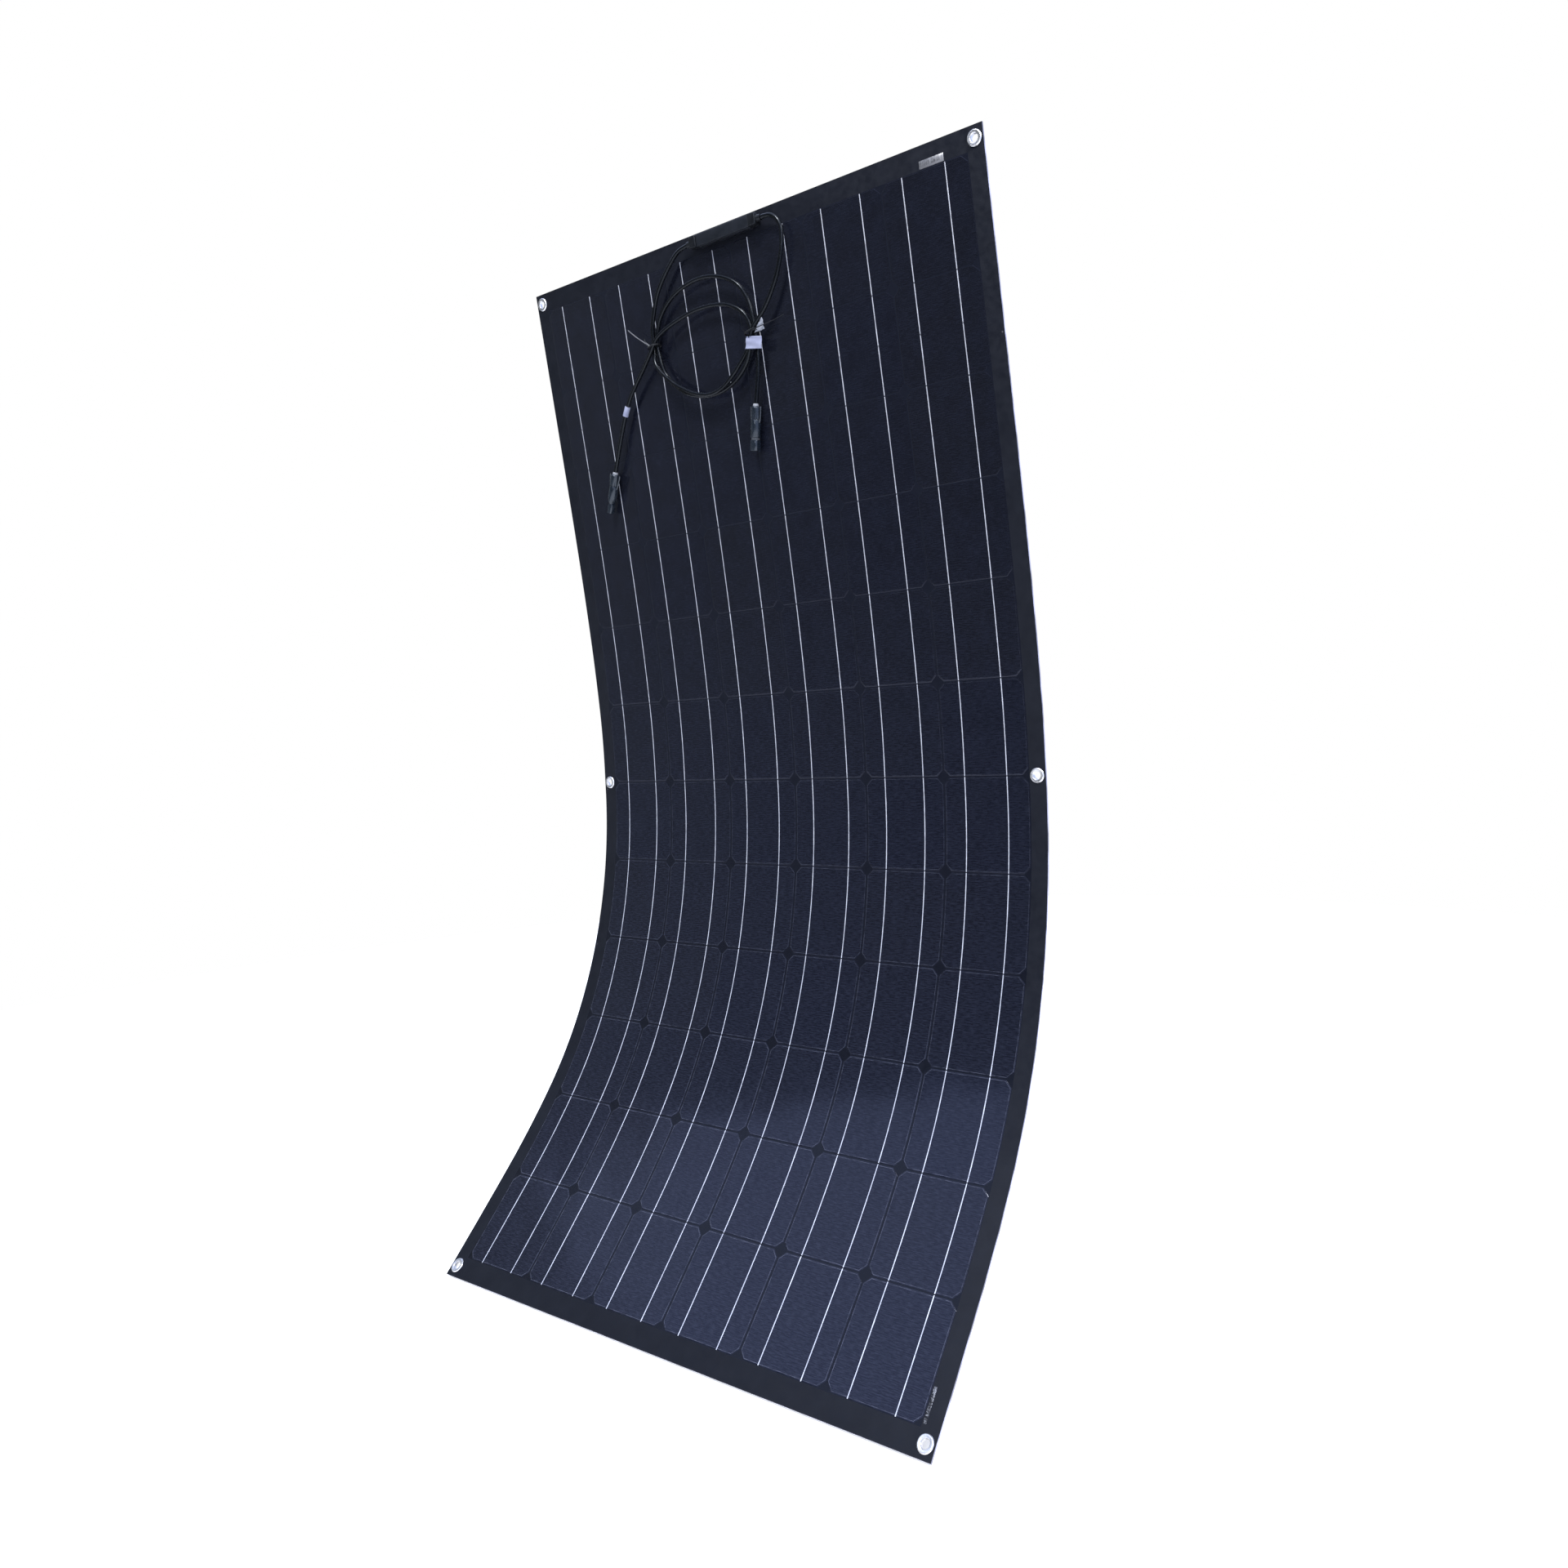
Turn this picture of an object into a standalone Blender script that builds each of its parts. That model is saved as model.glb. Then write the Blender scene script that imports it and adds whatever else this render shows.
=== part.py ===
"""Semi-flexible solar sheet with a junction box and two leads, built flat and then bent.

Run with: blender --background --python part.py
Units are metres and +Z is up. The sheet stands on end with its cells facing -Y, and it is
bent about X: nearly straight above the middle eyelets and curling forward below them.

Most shapes are laid out on the flat sheet, in the coordinates (x, s, w):
x runs across the sheet, s runs up along it from the middle eyelets, and w is the height in
front of its back face. sheet_point() turns them into a place in space.
"""
import math

import bmesh
import bpy
from mathutils import Matrix, Vector

# The laminate
SHEET_WIDTH = 0.808
SHEET_LENGTH = 1.580
ROWS = 12
COLUMNS = 6
CELL_PITCH = 0.127
CELL_SIZE = 0.125
CELL_CHAMFER = 0.0087
BACKSHEET_THICKNESS = 0.0012
CELL_LAYER_THICKNESS = 0.0006
FILM_THICKNESS = 0.0004
LAYER_GAP = 0.0003
HINGE_GAP = 0.0010

# How far each row of cells turns in the bend, from the top row down, in degrees
ROW_TURNS = (0.0, 0.0, 0.5, 1.2, 2.0, 4.8, 7.8, 9.0, 10.0, 11.5, 6.0, 1.0)
ROWS_ABOVE_MIDDLE = 6
MIDDLE_FLAT_HALF = 0.016

# Eyelets
EYELET_FROM_SIDE = 0.012
EYELET_FROM_END = 0.015
EYELET_HOLE_RADIUS = 0.0050
EYELET_BARREL_RADIUS = 0.0058
EYELET_FLANGE_RADIUS = 0.0097
EYELET_FLANGE_THICKNESS = 0.0010
WASHER_THICKNESS = 0.0007
BARREL_BEHIND_WASHER = 0.0004
SHEET_HOLE_RADIUS = 0.0061
EYELET_LIP = 0.0006
EYELET_RIM = 0.0012

# Junction box, on the front of the sheet close to its top edge
BOX_LENGTH = 0.096
BOX_WIDTH = 0.016
BOX_BASE_DEPTH = 0.0095
BOX_WALL = 0.0016
BOX_FLOOR = 0.0014
BOX_LID_DEPTH = 0.0040
BOX_S = 0.7755
BOX_EDGE = 0.0009
BOARD_SIZE = (0.084, 0.0095, 0.0012)
BOARD_EDGE = 0.0003
GLAND_BLOCK = (0.0125, 0.0155, 0.0125)
GLAND_BLOCK_EDGE = 0.0010
GLAND_LENGTH = 0.0195
GLAND_RADIUS = 0.0050
GLAND_NOSE_RADIUS = 0.0042
GLAND_HEIGHT = 0.0090

# Leads and what is on them
CABLE_DIAMETER = 0.0060
CABLE_POINTS = 66
CURVE_STEPS = 12
CONNECTOR_NUT_LENGTH = 0.018
CONNECTOR_BODY_LENGTH = 0.043
CONNECTOR_RADIUS = 0.0072
SOCKET_RADIUS = 0.0055
SOCKET_DEPTH = 0.013
TIE_INNER_RADIUS = 0.0096
TIE_OUTER_RADIUS = 0.0104
TIE_WIDTH = 0.0025
SLEEVE_INNER_RADIUS = 0.0037
SLEEVE_OUTER_RADIUS = 0.0042
SLEEVE_LENGTH = 0.015
SLEEVE_AT = (-0.2350, 0.5770, 0.0105)
SLEEVE_DIRECTION = (-0.54, -0.84)
TAG_SIZE = (0.0285, 0.0165, 0.0005)
TAG_AT = (0.0330, 0.6180, 0.0187)
TAG_TURN = math.radians(-11)

# Shared by all
TOUCH_GAP = 0.0003
MERGE_DISTANCE = 0.00001
ROUND_STEPS = 16
SMALL_ROUND_STEPS = 12

# Routes of the two leads over the flat sheet: x, s and the height in front of the front film.
# Each starts straight out of its gland, goes once round the tied loop and hangs to its connector.
LEFT_ROUTE = (
    (-0.0684, 0.7755, 0.0090), (-0.0838, 0.7728, 0.0093), (-0.0973, 0.7650, 0.0098),
    (-0.1195, 0.7455, 0.0105), (-0.1380, 0.7240, 0.0105),
    (-0.1500, 0.7010, 0.0100), (-0.1580, 0.6800, 0.0090), (-0.1602, 0.6610, 0.0084),
    (-0.1608, 0.6480, 0.0095), (-0.1570, 0.6290, 0.0140), (-0.1420, 0.6110, 0.0165),
    (-0.1220, 0.5935, 0.0175), (-0.0980, 0.5785, 0.0175), (-0.0760, 0.5695, 0.0175),
    (-0.0540, 0.5665, 0.0175), (-0.0330, 0.5710, 0.0175), (-0.0160, 0.5825, 0.0155),
    (-0.0025, 0.5960, 0.0120), (0.0090, 0.6080, 0.0095), (0.0180, 0.6190, 0.0086),
    (0.0232, 0.6290, 0.0084), (0.0240, 0.6400, 0.0084), (0.0210, 0.6530, 0.0086),
    (0.0140, 0.6640, 0.0090), (0.0030, 0.6730, 0.0095), (-0.0150, 0.6815, 0.0100),
    (-0.0400, 0.6860, 0.0105), (-0.0680, 0.6865, 0.0110), (-0.0930, 0.6830, 0.0118),
    (-0.1160, 0.6775, 0.0132), (-0.1350, 0.6705, 0.0150), (-0.1475, 0.6635, 0.0159),
    (-0.1555, 0.6560, 0.0161), (-0.1630, 0.6475, 0.0156), (-0.1730, 0.6385, 0.0144),
    (-0.1880, 0.6260, 0.0125), (-0.2070, 0.6095, 0.0115), (-0.2230, 0.5930, 0.0110),
    (-0.2350, 0.5770, 0.0105), (-0.2470, 0.5570, 0.0100), (-0.2580, 0.5360, 0.0100),
    (-0.2700, 0.5120, 0.0100), (-0.2805, 0.4900, 0.0100),
)
RIGHT_ROUTE = (
    (0.0684, 0.7755, 0.0090), (0.0740, 0.7755, 0.0090), (0.0838, 0.7737, 0.0093),
    (0.0924, 0.7679, 0.0097), (0.0980, 0.7593, 0.0102), (0.0998, 0.7490, 0.0107),
    (0.0975, 0.7300, 0.0114),
    (0.0895, 0.7090, 0.0120), (0.0810, 0.6920, 0.0125), (0.0690, 0.6740, 0.0132),
    (0.0560, 0.6580, 0.0142), (0.0430, 0.6465, 0.0150), (0.0335, 0.6390, 0.0152),
    (0.0275, 0.6310, 0.0152), (0.0245, 0.6210, 0.0152), (0.0205, 0.6090, 0.0145),
    (0.0125, 0.5960, 0.0132), (-0.0010, 0.5840, 0.0118), (-0.0180, 0.5745, 0.0108),
    (-0.0400, 0.5680, 0.0104), (-0.0640, 0.5665, 0.0104), (-0.0870, 0.5705, 0.0104),
    (-0.1100, 0.5795, 0.0102), (-0.1300, 0.5950, 0.0096), (-0.1440, 0.6120, 0.0090),
    (-0.1510, 0.6290, 0.0085), (-0.1534, 0.6460, 0.0084), (-0.1534, 0.6600, 0.0084),
    (-0.1500, 0.6750, 0.0084), (-0.1415, 0.6905, 0.0086), (-0.1280, 0.7040, 0.0090),
    (-0.1090, 0.7150, 0.0100), (-0.0860, 0.7225, 0.0110), (-0.0570, 0.7260, 0.0120),
    (-0.0290, 0.7230, 0.0125), (-0.0040, 0.7140, 0.0125), (0.0140, 0.7010, 0.0120),
    (0.0245, 0.6850, 0.0110), (0.0295, 0.6680, 0.0100), (0.0308, 0.6510, 0.0088),
    (0.0306, 0.6340, 0.0084), (0.0312, 0.6170, 0.0086), (0.0302, 0.5980, 0.0091),
    (0.0262, 0.5760, 0.0096), (0.0205, 0.5550, 0.0100), (0.0150, 0.5360, 0.0100),
)
LEFT_TIE_AT = (-0.1568, 0.6555, 0.0122)
RIGHT_TIE_AT = (0.0273, 0.6335, 0.0119)
TIE_DIRECTION = (0.12, -1.0)
LEFT_CONNECTOR_DIRECTION = (-0.380, -0.925)
RIGHT_CONNECTOR_DIRECTION = (-0.196, -0.981)

# Colours as linear RGB, with roughness and metallic
MATERIALS = {
    "backsheet": ((0.012, 0.013, 0.015), 0.60, 0.0),
    "cell": ((0.006, 0.007, 0.016), 0.30, 0.0),
    "film": ((0.010, 0.012, 0.020), 0.22, 0.0),
    "steel": ((0.62, 0.62, 0.60), 0.25, 1.0),
    "box_plastic": ((0.012, 0.012, 0.013), 0.45, 0.0),
    "board": ((0.45, 0.33, 0.12), 0.40, 0.6),
    "cable": ((0.010, 0.010, 0.011), 0.42, 0.0),
    "tie": ((0.014, 0.014, 0.014), 0.40, 0.0),
    "label": ((0.78, 0.79, 0.84), 0.55, 0.0),
}

BACK_W = 0.0
CELL_W = BACK_W + BACKSHEET_THICKNESS + LAYER_GAP
FILM_W = CELL_W + CELL_LAYER_THICKNESS + LAYER_GAP
FRONT_W = FILM_W + FILM_THICKNESS
MIDDLE_W = FRONT_W / 2
CELLS_HALF = ROWS_ABOVE_MIDDLE * CELL_PITCH
EYELET_TOP_W = FRONT_W + TOUCH_GAP + EYELET_FLANGE_THICKNESS


# ---------------------------------------------------------------- the bend

def sheet_frame(s):
    """Give y, z and the lean of the sheet's middle layer at the distance s up from the middle.

    The sheet is flat around its middle eyelets, then each row bends to its own radius.
    """
    upward = 1 if s >= 0 else -1
    turns = ROW_TURNS[ROWS_ABOVE_MIDDLE - 1::-1] if s >= 0 else ROW_TURNS[ROWS_ABOVE_MIDDLE:]
    stretches = [(0.0, MIDDLE_FLAT_HALF), (turns[0], CELL_PITCH - MIDDLE_FLAT_HALF)]
    stretches += [(turn, CELL_PITCH) for turn in turns[1:]]
    stretches.append((0.0, SHEET_LENGTH))
    y = 0.0
    z = 0.0
    lean = 0.0
    left = abs(s)
    for turn, length in stretches:
        step = min(left, length)
        half = -upward * math.radians(turn) * step / length / 2
        chord = upward * step * (math.sin(half) / half if half else 1.0)
        y += chord * math.sin(lean + half)
        z += chord * math.cos(lean + half)
        lean += 2 * half
        left -= step
    return y - MIDDLE_W, z, lean


def sheet_point(x, s, w):
    """Place the flat sheet's point (x, s, w) in space."""
    y, z, lean = sheet_frame(s)
    height = w - MIDDLE_W
    return Vector((x, y - height * math.cos(lean), z + height * math.sin(lean)))


def facet_point(x, s, w, creases):
    """Place the point (x, s, w) on the flat facets between the given creases."""
    facets = zip(creases, creases[1:])
    low, high = next(facet for facet in facets if s <= facet[1] or facet[1] == creases[-1])
    return sheet_point(x, low, w).lerp(sheet_point(x, high, w), (s - low) / (high - low))


def sheet_matrix(x, s, w):
    """Give the place and turn of a piece whose local axes are x, s and w on the flat sheet."""
    lean = sheet_frame(s)[2]
    turn = Matrix.Rotation(math.pi / 2 - lean, 4, "X")
    return Matrix.Translation(sheet_point(x, s, w)) @ turn


def gap_line(row):
    """Give the s of the gap under the given row, counting from 1 at the top."""
    return (ROWS_ABOVE_MIDDLE - row) * CELL_PITCH


# ---------------------------------------------------------------- scene helpers

def clear_scene():
    for old in list(bpy.data.objects):
        bpy.data.objects.remove(old, do_unlink=True)


def new_collection(name):
    collection = bpy.data.collections.new(name)
    bpy.context.scene.collection.children.link(collection)
    return collection


def make_material(name, kind):
    color, roughness, metallic = MATERIALS[kind]
    material = bpy.data.materials.new(name)
    material.use_nodes = True
    shader = material.node_tree.nodes["Principled BSDF"]
    shader.inputs["Base Color"].default_value = (*color, 1.0)
    shader.inputs["Roughness"].default_value = roughness
    shader.inputs["Metallic"].default_value = metallic
    return material


def add_object(name, mesh, kind, pivot, matrix=None):
    """Put a mesh in the part's collection as a named piece that turns with its pivot."""
    piece = bpy.data.objects.new(name, mesh)
    part_collection.objects.link(piece)
    mesh.materials.append(make_material(name, kind))
    piece.parent = pivot
    piece.matrix_parent_inverse = pivot.matrix_world.inverted()
    if matrix is not None:
        piece.matrix_basis = matrix
    return piece


def add_cutter(name, mesh, matrix):
    cutter = bpy.data.objects.new(name, mesh)
    cutter_collection.objects.link(cutter)
    cutter.matrix_basis = matrix
    cutter.hide_render = True
    cutter.display_type = "WIRE"
    return cutter


def combine(piece, other, operation):
    boolean = piece.modifiers.new(other.name, "BOOLEAN")
    boolean.operation = operation
    boolean.solver = "EXACT"
    boolean.object = other


def add_bevel(piece, width):
    bevel = piece.modifiers.new("broken_edges", "BEVEL")
    bevel.width = width
    bevel.segments = 1
    bevel.limit_method = "ANGLE"
    bevel.angle_limit = math.radians(40)


def make_pivot(body, s):
    """Add the empty on a body's joint axis."""
    y, z, _ = sheet_frame(s)
    pivot = bpy.data.objects.new(body + "_pivot", None)
    pivot.location = (0.0, y, z)
    pivot.empty_display_size = 0.03
    part_collection.objects.link(pivot)
    pivot.matrix_world = Matrix.Translation(pivot.location)
    return pivot


# ---------------------------------------------------------------- shapes

def block_mesh(name, size):
    mesh = bpy.data.meshes.new(name)
    work = bmesh.new()
    bmesh.ops.create_cube(work, size=1.0)
    bmesh.ops.scale(work, vec=size, verts=work.verts)
    work.to_mesh(mesh)
    work.free()
    return mesh


def loop_area(outline):
    """Give a closed outline's signed area, which is positive where it runs up its outer side."""
    pairs = zip(outline, outline[1:] + outline[:1])
    return sum(r0 * h1 - r1 * h0 for (r0, h0), (r1, h1) in pairs) / 2


def turn_outline(piece, outline, steps):
    """Turn a closed outline of (radius, height) points about the piece's Z with a Screw modifier."""
    if loop_area(outline) > 0:
        outline = outline[::-1]
    count = len(outline)
    on_axis = any(radius == 0 for radius, _ in outline)
    edges = [(i, (i + 1) % count) for i in range(count - (1 if on_axis else 0))]
    piece.data.from_pydata([(radius, 0.0, height) for radius, height in outline], edges, [])
    screw = piece.modifiers.new("turn", "SCREW")
    screw.axis = "Z"
    screw.angle = math.tau
    screw.steps = steps
    screw.render_steps = steps
    screw.use_merge_vertices = True
    screw.merge_threshold = MERGE_DISTANCE
    screw.use_smooth_shade = True


def add_turned(name, outline, kind, pivot, matrix, steps=ROUND_STEPS):
    """Add a named piece turned from an outline about local Z."""
    piece = add_object(name, bpy.data.meshes.new(name), kind, pivot, matrix)
    turn_outline(piece, outline, steps)


def plate_mesh(name, loops, w_low, w_high, creases, origin):
    """Extrude flat (x, s) outlines between two heights and bend them at the creases.

    The creases are in rising order, and the first and last are the plate's own ends.
    """
    curve = bpy.data.curves.new(name, "CURVE")
    curve.dimensions = "2D"
    curve.fill_mode = "BOTH"
    curve.extrude = (w_high - w_low) / 2
    for loop in loops:
        spline = curve.splines.new("POLY")
        spline.points.add(len(loop) - 1)
        for point, (x, s) in zip(spline.points, loop):
            point.co = (x, s, 0.0, 1.0)
        spline.use_cyclic_u = True
    flat = bpy.data.objects.new(name + "_flat", curve)
    cutter_collection.objects.link(flat)
    bpy.context.view_layer.update()
    mesh = bpy.data.meshes.new_from_object(flat.evaluated_get(bpy.context.evaluated_depsgraph_get()))
    bpy.data.objects.remove(flat, do_unlink=True)
    mesh.name = name
    work = bmesh.new()
    work.from_mesh(mesh)
    bmesh.ops.remove_doubles(work, verts=work.verts, dist=MERGE_DISTANCE)
    for s in creases[1:-1]:
        geometry = work.verts[:] + work.edges[:] + work.faces[:]
        bmesh.ops.bisect_plane(work, geom=geometry, plane_co=(0, s, 0), plane_no=(0, 1, 0),
                               dist=MERGE_DISTANCE)
    for vert in work.verts:
        x, s, height = vert.co
        vert.co = facet_point(x, s, height + (w_low + w_high) / 2, creases) - origin
    bmesh.ops.triangulate(work, faces=work.faces)
    bmesh.ops.recalc_face_normals(work, faces=work.faces)
    work.to_mesh(mesh)
    work.free()
    return mesh


def rectangle(x_half, s_low, s_high):
    return [(-x_half, s_low), (x_half, s_low), (x_half, s_high), (-x_half, s_high)]


def circle(x, s, radius):
    angles = [math.tau * i / ROUND_STEPS for i in range(ROUND_STEPS)]
    return [(x + radius * math.cos(a), s + radius * math.sin(a)) for a in angles]


def cell_edges(column):
    left = (column - COLUMNS / 2 + 0.5) * CELL_PITCH - CELL_SIZE / 2
    return left, left + CELL_SIZE


def cell_row_loop(s_low, s_high, waist=()):
    """Outline a row of cells joined side to side, with their cut corners as notches.

    waist lists the gaps between rows inside the outline, where the sides are notched too.
    """
    top = []
    bottom = []
    for column in range(COLUMNS):
        left, right = cell_edges(column)
        inner_left = left + CELL_CHAMFER
        inner_right = right - CELL_CHAMFER
        shoulder = s_high - CELL_CHAMFER
        top += [(left, shoulder), (inner_left, s_high), (inner_right, s_high), (right, shoulder)]
        shoulder = s_low + CELL_CHAMFER
        bottom += [(left, shoulder), (inner_left, s_low), (inner_right, s_low), (right, shoulder)]
    right = top[-1][0]
    notch = []
    for s in waist:
        half_gap = (CELL_PITCH - CELL_SIZE) / 2
        outer = half_gap + CELL_CHAMFER
        notch += [(s + outer, 0.0), (s + half_gap, CELL_CHAMFER)]
        notch += [(s - half_gap, CELL_CHAMFER), (s - outer, 0.0)]
    right_side = [(right - depth, s) for s, depth in notch]
    left_side = [(depth - right, s) for s, depth in reversed(notch)]
    return top + right_side + bottom[::-1] + left_side


def cell_diamond(column, s):
    """Outline the opening where the corners of four cells meet, right of the given column."""
    x = cell_edges(column)[1] + (CELL_PITCH - CELL_SIZE) / 2
    near = (CELL_PITCH - CELL_SIZE) / 2
    far = near + CELL_CHAMFER
    corners = [(near, far), (-near, far), (-far, near), (-far, -near),
               (-near, -far), (near, -far), (far, -near), (far, near)]
    return [(x + dx, s + ds) for dx, ds in corners]


# ---------------------------------------------------------------- the laminate

def eyelet_places():
    side = SHEET_WIDTH / 2 - EYELET_FROM_SIDE
    end = SHEET_LENGTH / 2 - EYELET_FROM_END
    rows = (("top", end), ("middle", 0.0), ("bottom", -end))
    return [(f"{level}_{hand}", x, s) for level, s in rows for hand, x in (("left", -side), ("right", side))]


def build_segment(body, first_row, last_row, pivot):
    """Build the three layers of one stiff length of the laminate, from first_row to last_row."""
    top = SHEET_LENGTH / 2 if first_row == 1 else gap_line(first_row - 1) - HINGE_GAP / 2
    bottom = -SHEET_LENGTH / 2 if last_row == ROWS else gap_line(last_row) + HINGE_GAP / 2
    if body == "middle":
        quarter = (CELL_PITCH + MIDDLE_FLAT_HALF) / 2
        creases = [bottom, -quarter, -MIDDLE_FLAT_HALF, MIDDLE_FLAT_HALF, quarter, top]
    elif first_row == 1:
        creases = [bottom, top]
    elif last_row == ROWS:
        creases = [bottom, -CELLS_HALF, top]
    else:
        creases = [bottom, gap_line(first_row) + CELL_PITCH / 2, top]
    holes = [circle(x, s, SHEET_HOLE_RADIUS) for _, x, s in eyelet_places() if bottom < s < top]
    outline = [rectangle(SHEET_WIDTH / 2, bottom, top)] + holes
    half_gap = (CELL_PITCH - CELL_SIZE) / 2
    cells_low = gap_line(last_row) + half_gap
    cells_high = gap_line(first_row - 1) - half_gap
    waist = [gap_line(row) for row in range(first_row, last_row)]
    cells = [cell_row_loop(cells_low, cells_high, waist)]
    cells += [cell_diamond(column, s) for s in waist for column in range(COLUMNS - 1)]
    layers = (
        ("backsheet", outline, BACK_W, BACKSHEET_THICKNESS, "backsheet"),
        ("cells", cells, CELL_W, CELL_LAYER_THICKNESS, "cell"),
        ("front_film", outline, FILM_W, FILM_THICKNESS, "film"),
    )
    for layer, loops, w, thickness, kind in layers:
        name = f"{layer}_{body}"
        mesh = plate_mesh(name, loops, w, w + thickness, creases, pivot.location)
        add_object(name, mesh, kind, pivot, Matrix.Translation(pivot.location))


def build_eyelet(place, x, s, pivot):
    """Build one eyelet, its flange in front and its barrel through the sheet, and the washer behind."""
    flange_w = FRONT_W + TOUCH_GAP
    barrel_end = -TOUCH_GAP - WASHER_THICKNESS - BARREL_BEHIND_WASHER
    edge = EYELET_FLANGE_RADIUS
    outline = [
        (EYELET_HOLE_RADIUS + EYELET_LIP, EYELET_TOP_W), (edge - EYELET_RIM, EYELET_TOP_W),
        (edge, flange_w), (EYELET_BARREL_RADIUS, flange_w),
        (EYELET_BARREL_RADIUS, barrel_end), (EYELET_HOLE_RADIUS, barrel_end),
        (EYELET_HOLE_RADIUS, EYELET_TOP_W - EYELET_LIP),
    ]
    matrix = sheet_matrix(x, s, 0.0)
    add_turned(f"eyelet_{place}", outline, "steel", pivot, matrix)
    inner = SHEET_HOLE_RADIUS
    high = -TOUCH_GAP
    low = high - WASHER_THICKNESS
    washer = [(inner, high), (edge, high), (edge, low), (inner, low)]
    add_turned(f"eyelet_washer_{place}", washer, "steel", pivot, matrix)


# ---------------------------------------------------------------- the junction box

def build_junction_box(pivot):
    base_w = FRONT_W + TOUCH_GAP + BOX_BASE_DEPTH / 2
    base_matrix = sheet_matrix(0.0, BOX_S, base_w)
    base_mesh = block_mesh("junction_box_base", (BOX_LENGTH, BOX_WIDTH, BOX_BASE_DEPTH))
    base = add_object("junction_box_base", base_mesh, "box_plastic", pivot, base_matrix)
    hollow_size = (BOX_LENGTH - 2 * BOX_WALL, BOX_WIDTH - 2 * BOX_WALL, BOX_BASE_DEPTH)
    hollow_matrix = sheet_matrix(0.0, BOX_S, base_w + BOX_FLOOR)
    hollow = add_cutter("box_hollow", block_mesh("box_hollow", hollow_size), hollow_matrix)
    combine(base, hollow, "DIFFERENCE")

    lid_w = FRONT_W + 2 * TOUCH_GAP + BOX_BASE_DEPTH + BOX_LID_DEPTH / 2
    lid_mesh = block_mesh("junction_box_lid", (BOX_LENGTH, BOX_WIDTH, BOX_LID_DEPTH))
    lid_matrix = sheet_matrix(0.0, BOX_S, lid_w)
    lid = add_object("junction_box_lid", lid_mesh, "box_plastic", pivot, lid_matrix)
    add_bevel(lid, BOX_EDGE)

    board_w = FRONT_W + 2 * TOUCH_GAP + BOX_FLOOR + BOARD_SIZE[2] / 2
    board_matrix = sheet_matrix(0.0, BOX_S, board_w)
    board = add_object("diode_board", block_mesh("diode_board", BOARD_SIZE), "board", pivot, board_matrix)
    add_bevel(board, BOARD_EDGE)

    for hand, side in (("left", -1), ("right", 1)):
        build_gland(hand, side, pivot)


def build_gland(hand, side, pivot):
    """Build the block at one end of the box and the tapered nose that holds the cable."""
    matrix = sheet_matrix(side * (BOX_LENGTH / 2 + TOUCH_GAP), BOX_S, FRONT_W + GLAND_HEIGHT)
    matrix = matrix @ Matrix.Rotation(side * math.pi / 2, 4, "Y")
    name = f"cable_gland_{hand}"
    block_length = GLAND_BLOCK[2]
    block_matrix = matrix @ Matrix.Translation((0.0, 0.0, block_length / 2))
    gland = add_object(name, block_mesh(name, GLAND_BLOCK), "box_plastic", pivot, block_matrix)
    add_bevel(gland, GLAND_BLOCK_EDGE)
    outline = [
        (0.0, block_length / 2), (GLAND_RADIUS, block_length / 2), (GLAND_RADIUS, 0.82 * GLAND_LENGTH),
        (GLAND_NOSE_RADIUS, GLAND_LENGTH), (0.0, GLAND_LENGTH),
    ]
    nose = add_cutter(name + "_nose", bpy.data.meshes.new(name + "_nose"), matrix)
    turn_outline(nose, outline, SMALL_ROUND_STEPS)
    combine(gland, nose, "UNION")


# ---------------------------------------------------------------- the leads

def curve_between(p0, p1, p2, p3, t):
    """Read a point between p1 and p2 on the Catmull-Rom curve through four points."""
    pull = 2 * p1 + (p2 - p0) * t
    pull += (2 * p0 - 5 * p1 + 4 * p2 - p3) * t ** 2
    pull += (3 * p1 - p0 - 3 * p2 + p3) * t ** 3
    return pull / 2


def smooth_route(route, count):
    """Give evenly spaced points in space along the smooth curve through a flat route."""
    knots = [sheet_point(x, s, FRONT_W + height) for x, s, height in route]
    knots = [2 * knots[0] - knots[1]] + knots + [2 * knots[-1] - knots[-2]]
    fine = []
    for group in zip(knots, knots[1:], knots[2:], knots[3:]):
        fine += [curve_between(*group, step / CURVE_STEPS) for step in range(CURVE_STEPS)]
    fine.append(knots[-2])
    lengths = [0.0]
    for a, b in zip(fine, fine[1:]):
        lengths.append(lengths[-1] + (b - a).length)
    points = []
    index = 0
    for i in range(count):
        target = lengths[-1] * i / (count - 1)
        while index < len(fine) - 2 and lengths[index + 1] < target:
            index += 1
        share = (target - lengths[index]) / (lengths[index + 1] - lengths[index])
        points.append(fine[index].lerp(fine[index + 1], share))
    return points


def add_cable(name, points, pivot):
    curve = bpy.data.curves.new(name, "CURVE")
    curve.dimensions = "3D"
    curve.bevel_depth = CABLE_DIAMETER / 2
    curve.bevel_resolution = 2
    curve.use_fill_caps = True
    spline = curve.splines.new("POLY")
    spline.points.add(len(points) - 1)
    for place, point in zip(spline.points, points):
        place.co = (*point, 1.0)
    return add_object(name, curve, "cable", pivot)


def along(place, direction):
    """Give a matrix whose local Z points along a flat (x, s) direction, from a flat place."""
    x, s, height = place
    angle = math.atan2(direction[1], direction[0])
    flat = sheet_matrix(x, s, FRONT_W + height)
    return flat @ Matrix.Rotation(angle, 4, "Z") @ Matrix.Rotation(math.pi / 2, 4, "Y")


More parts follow.
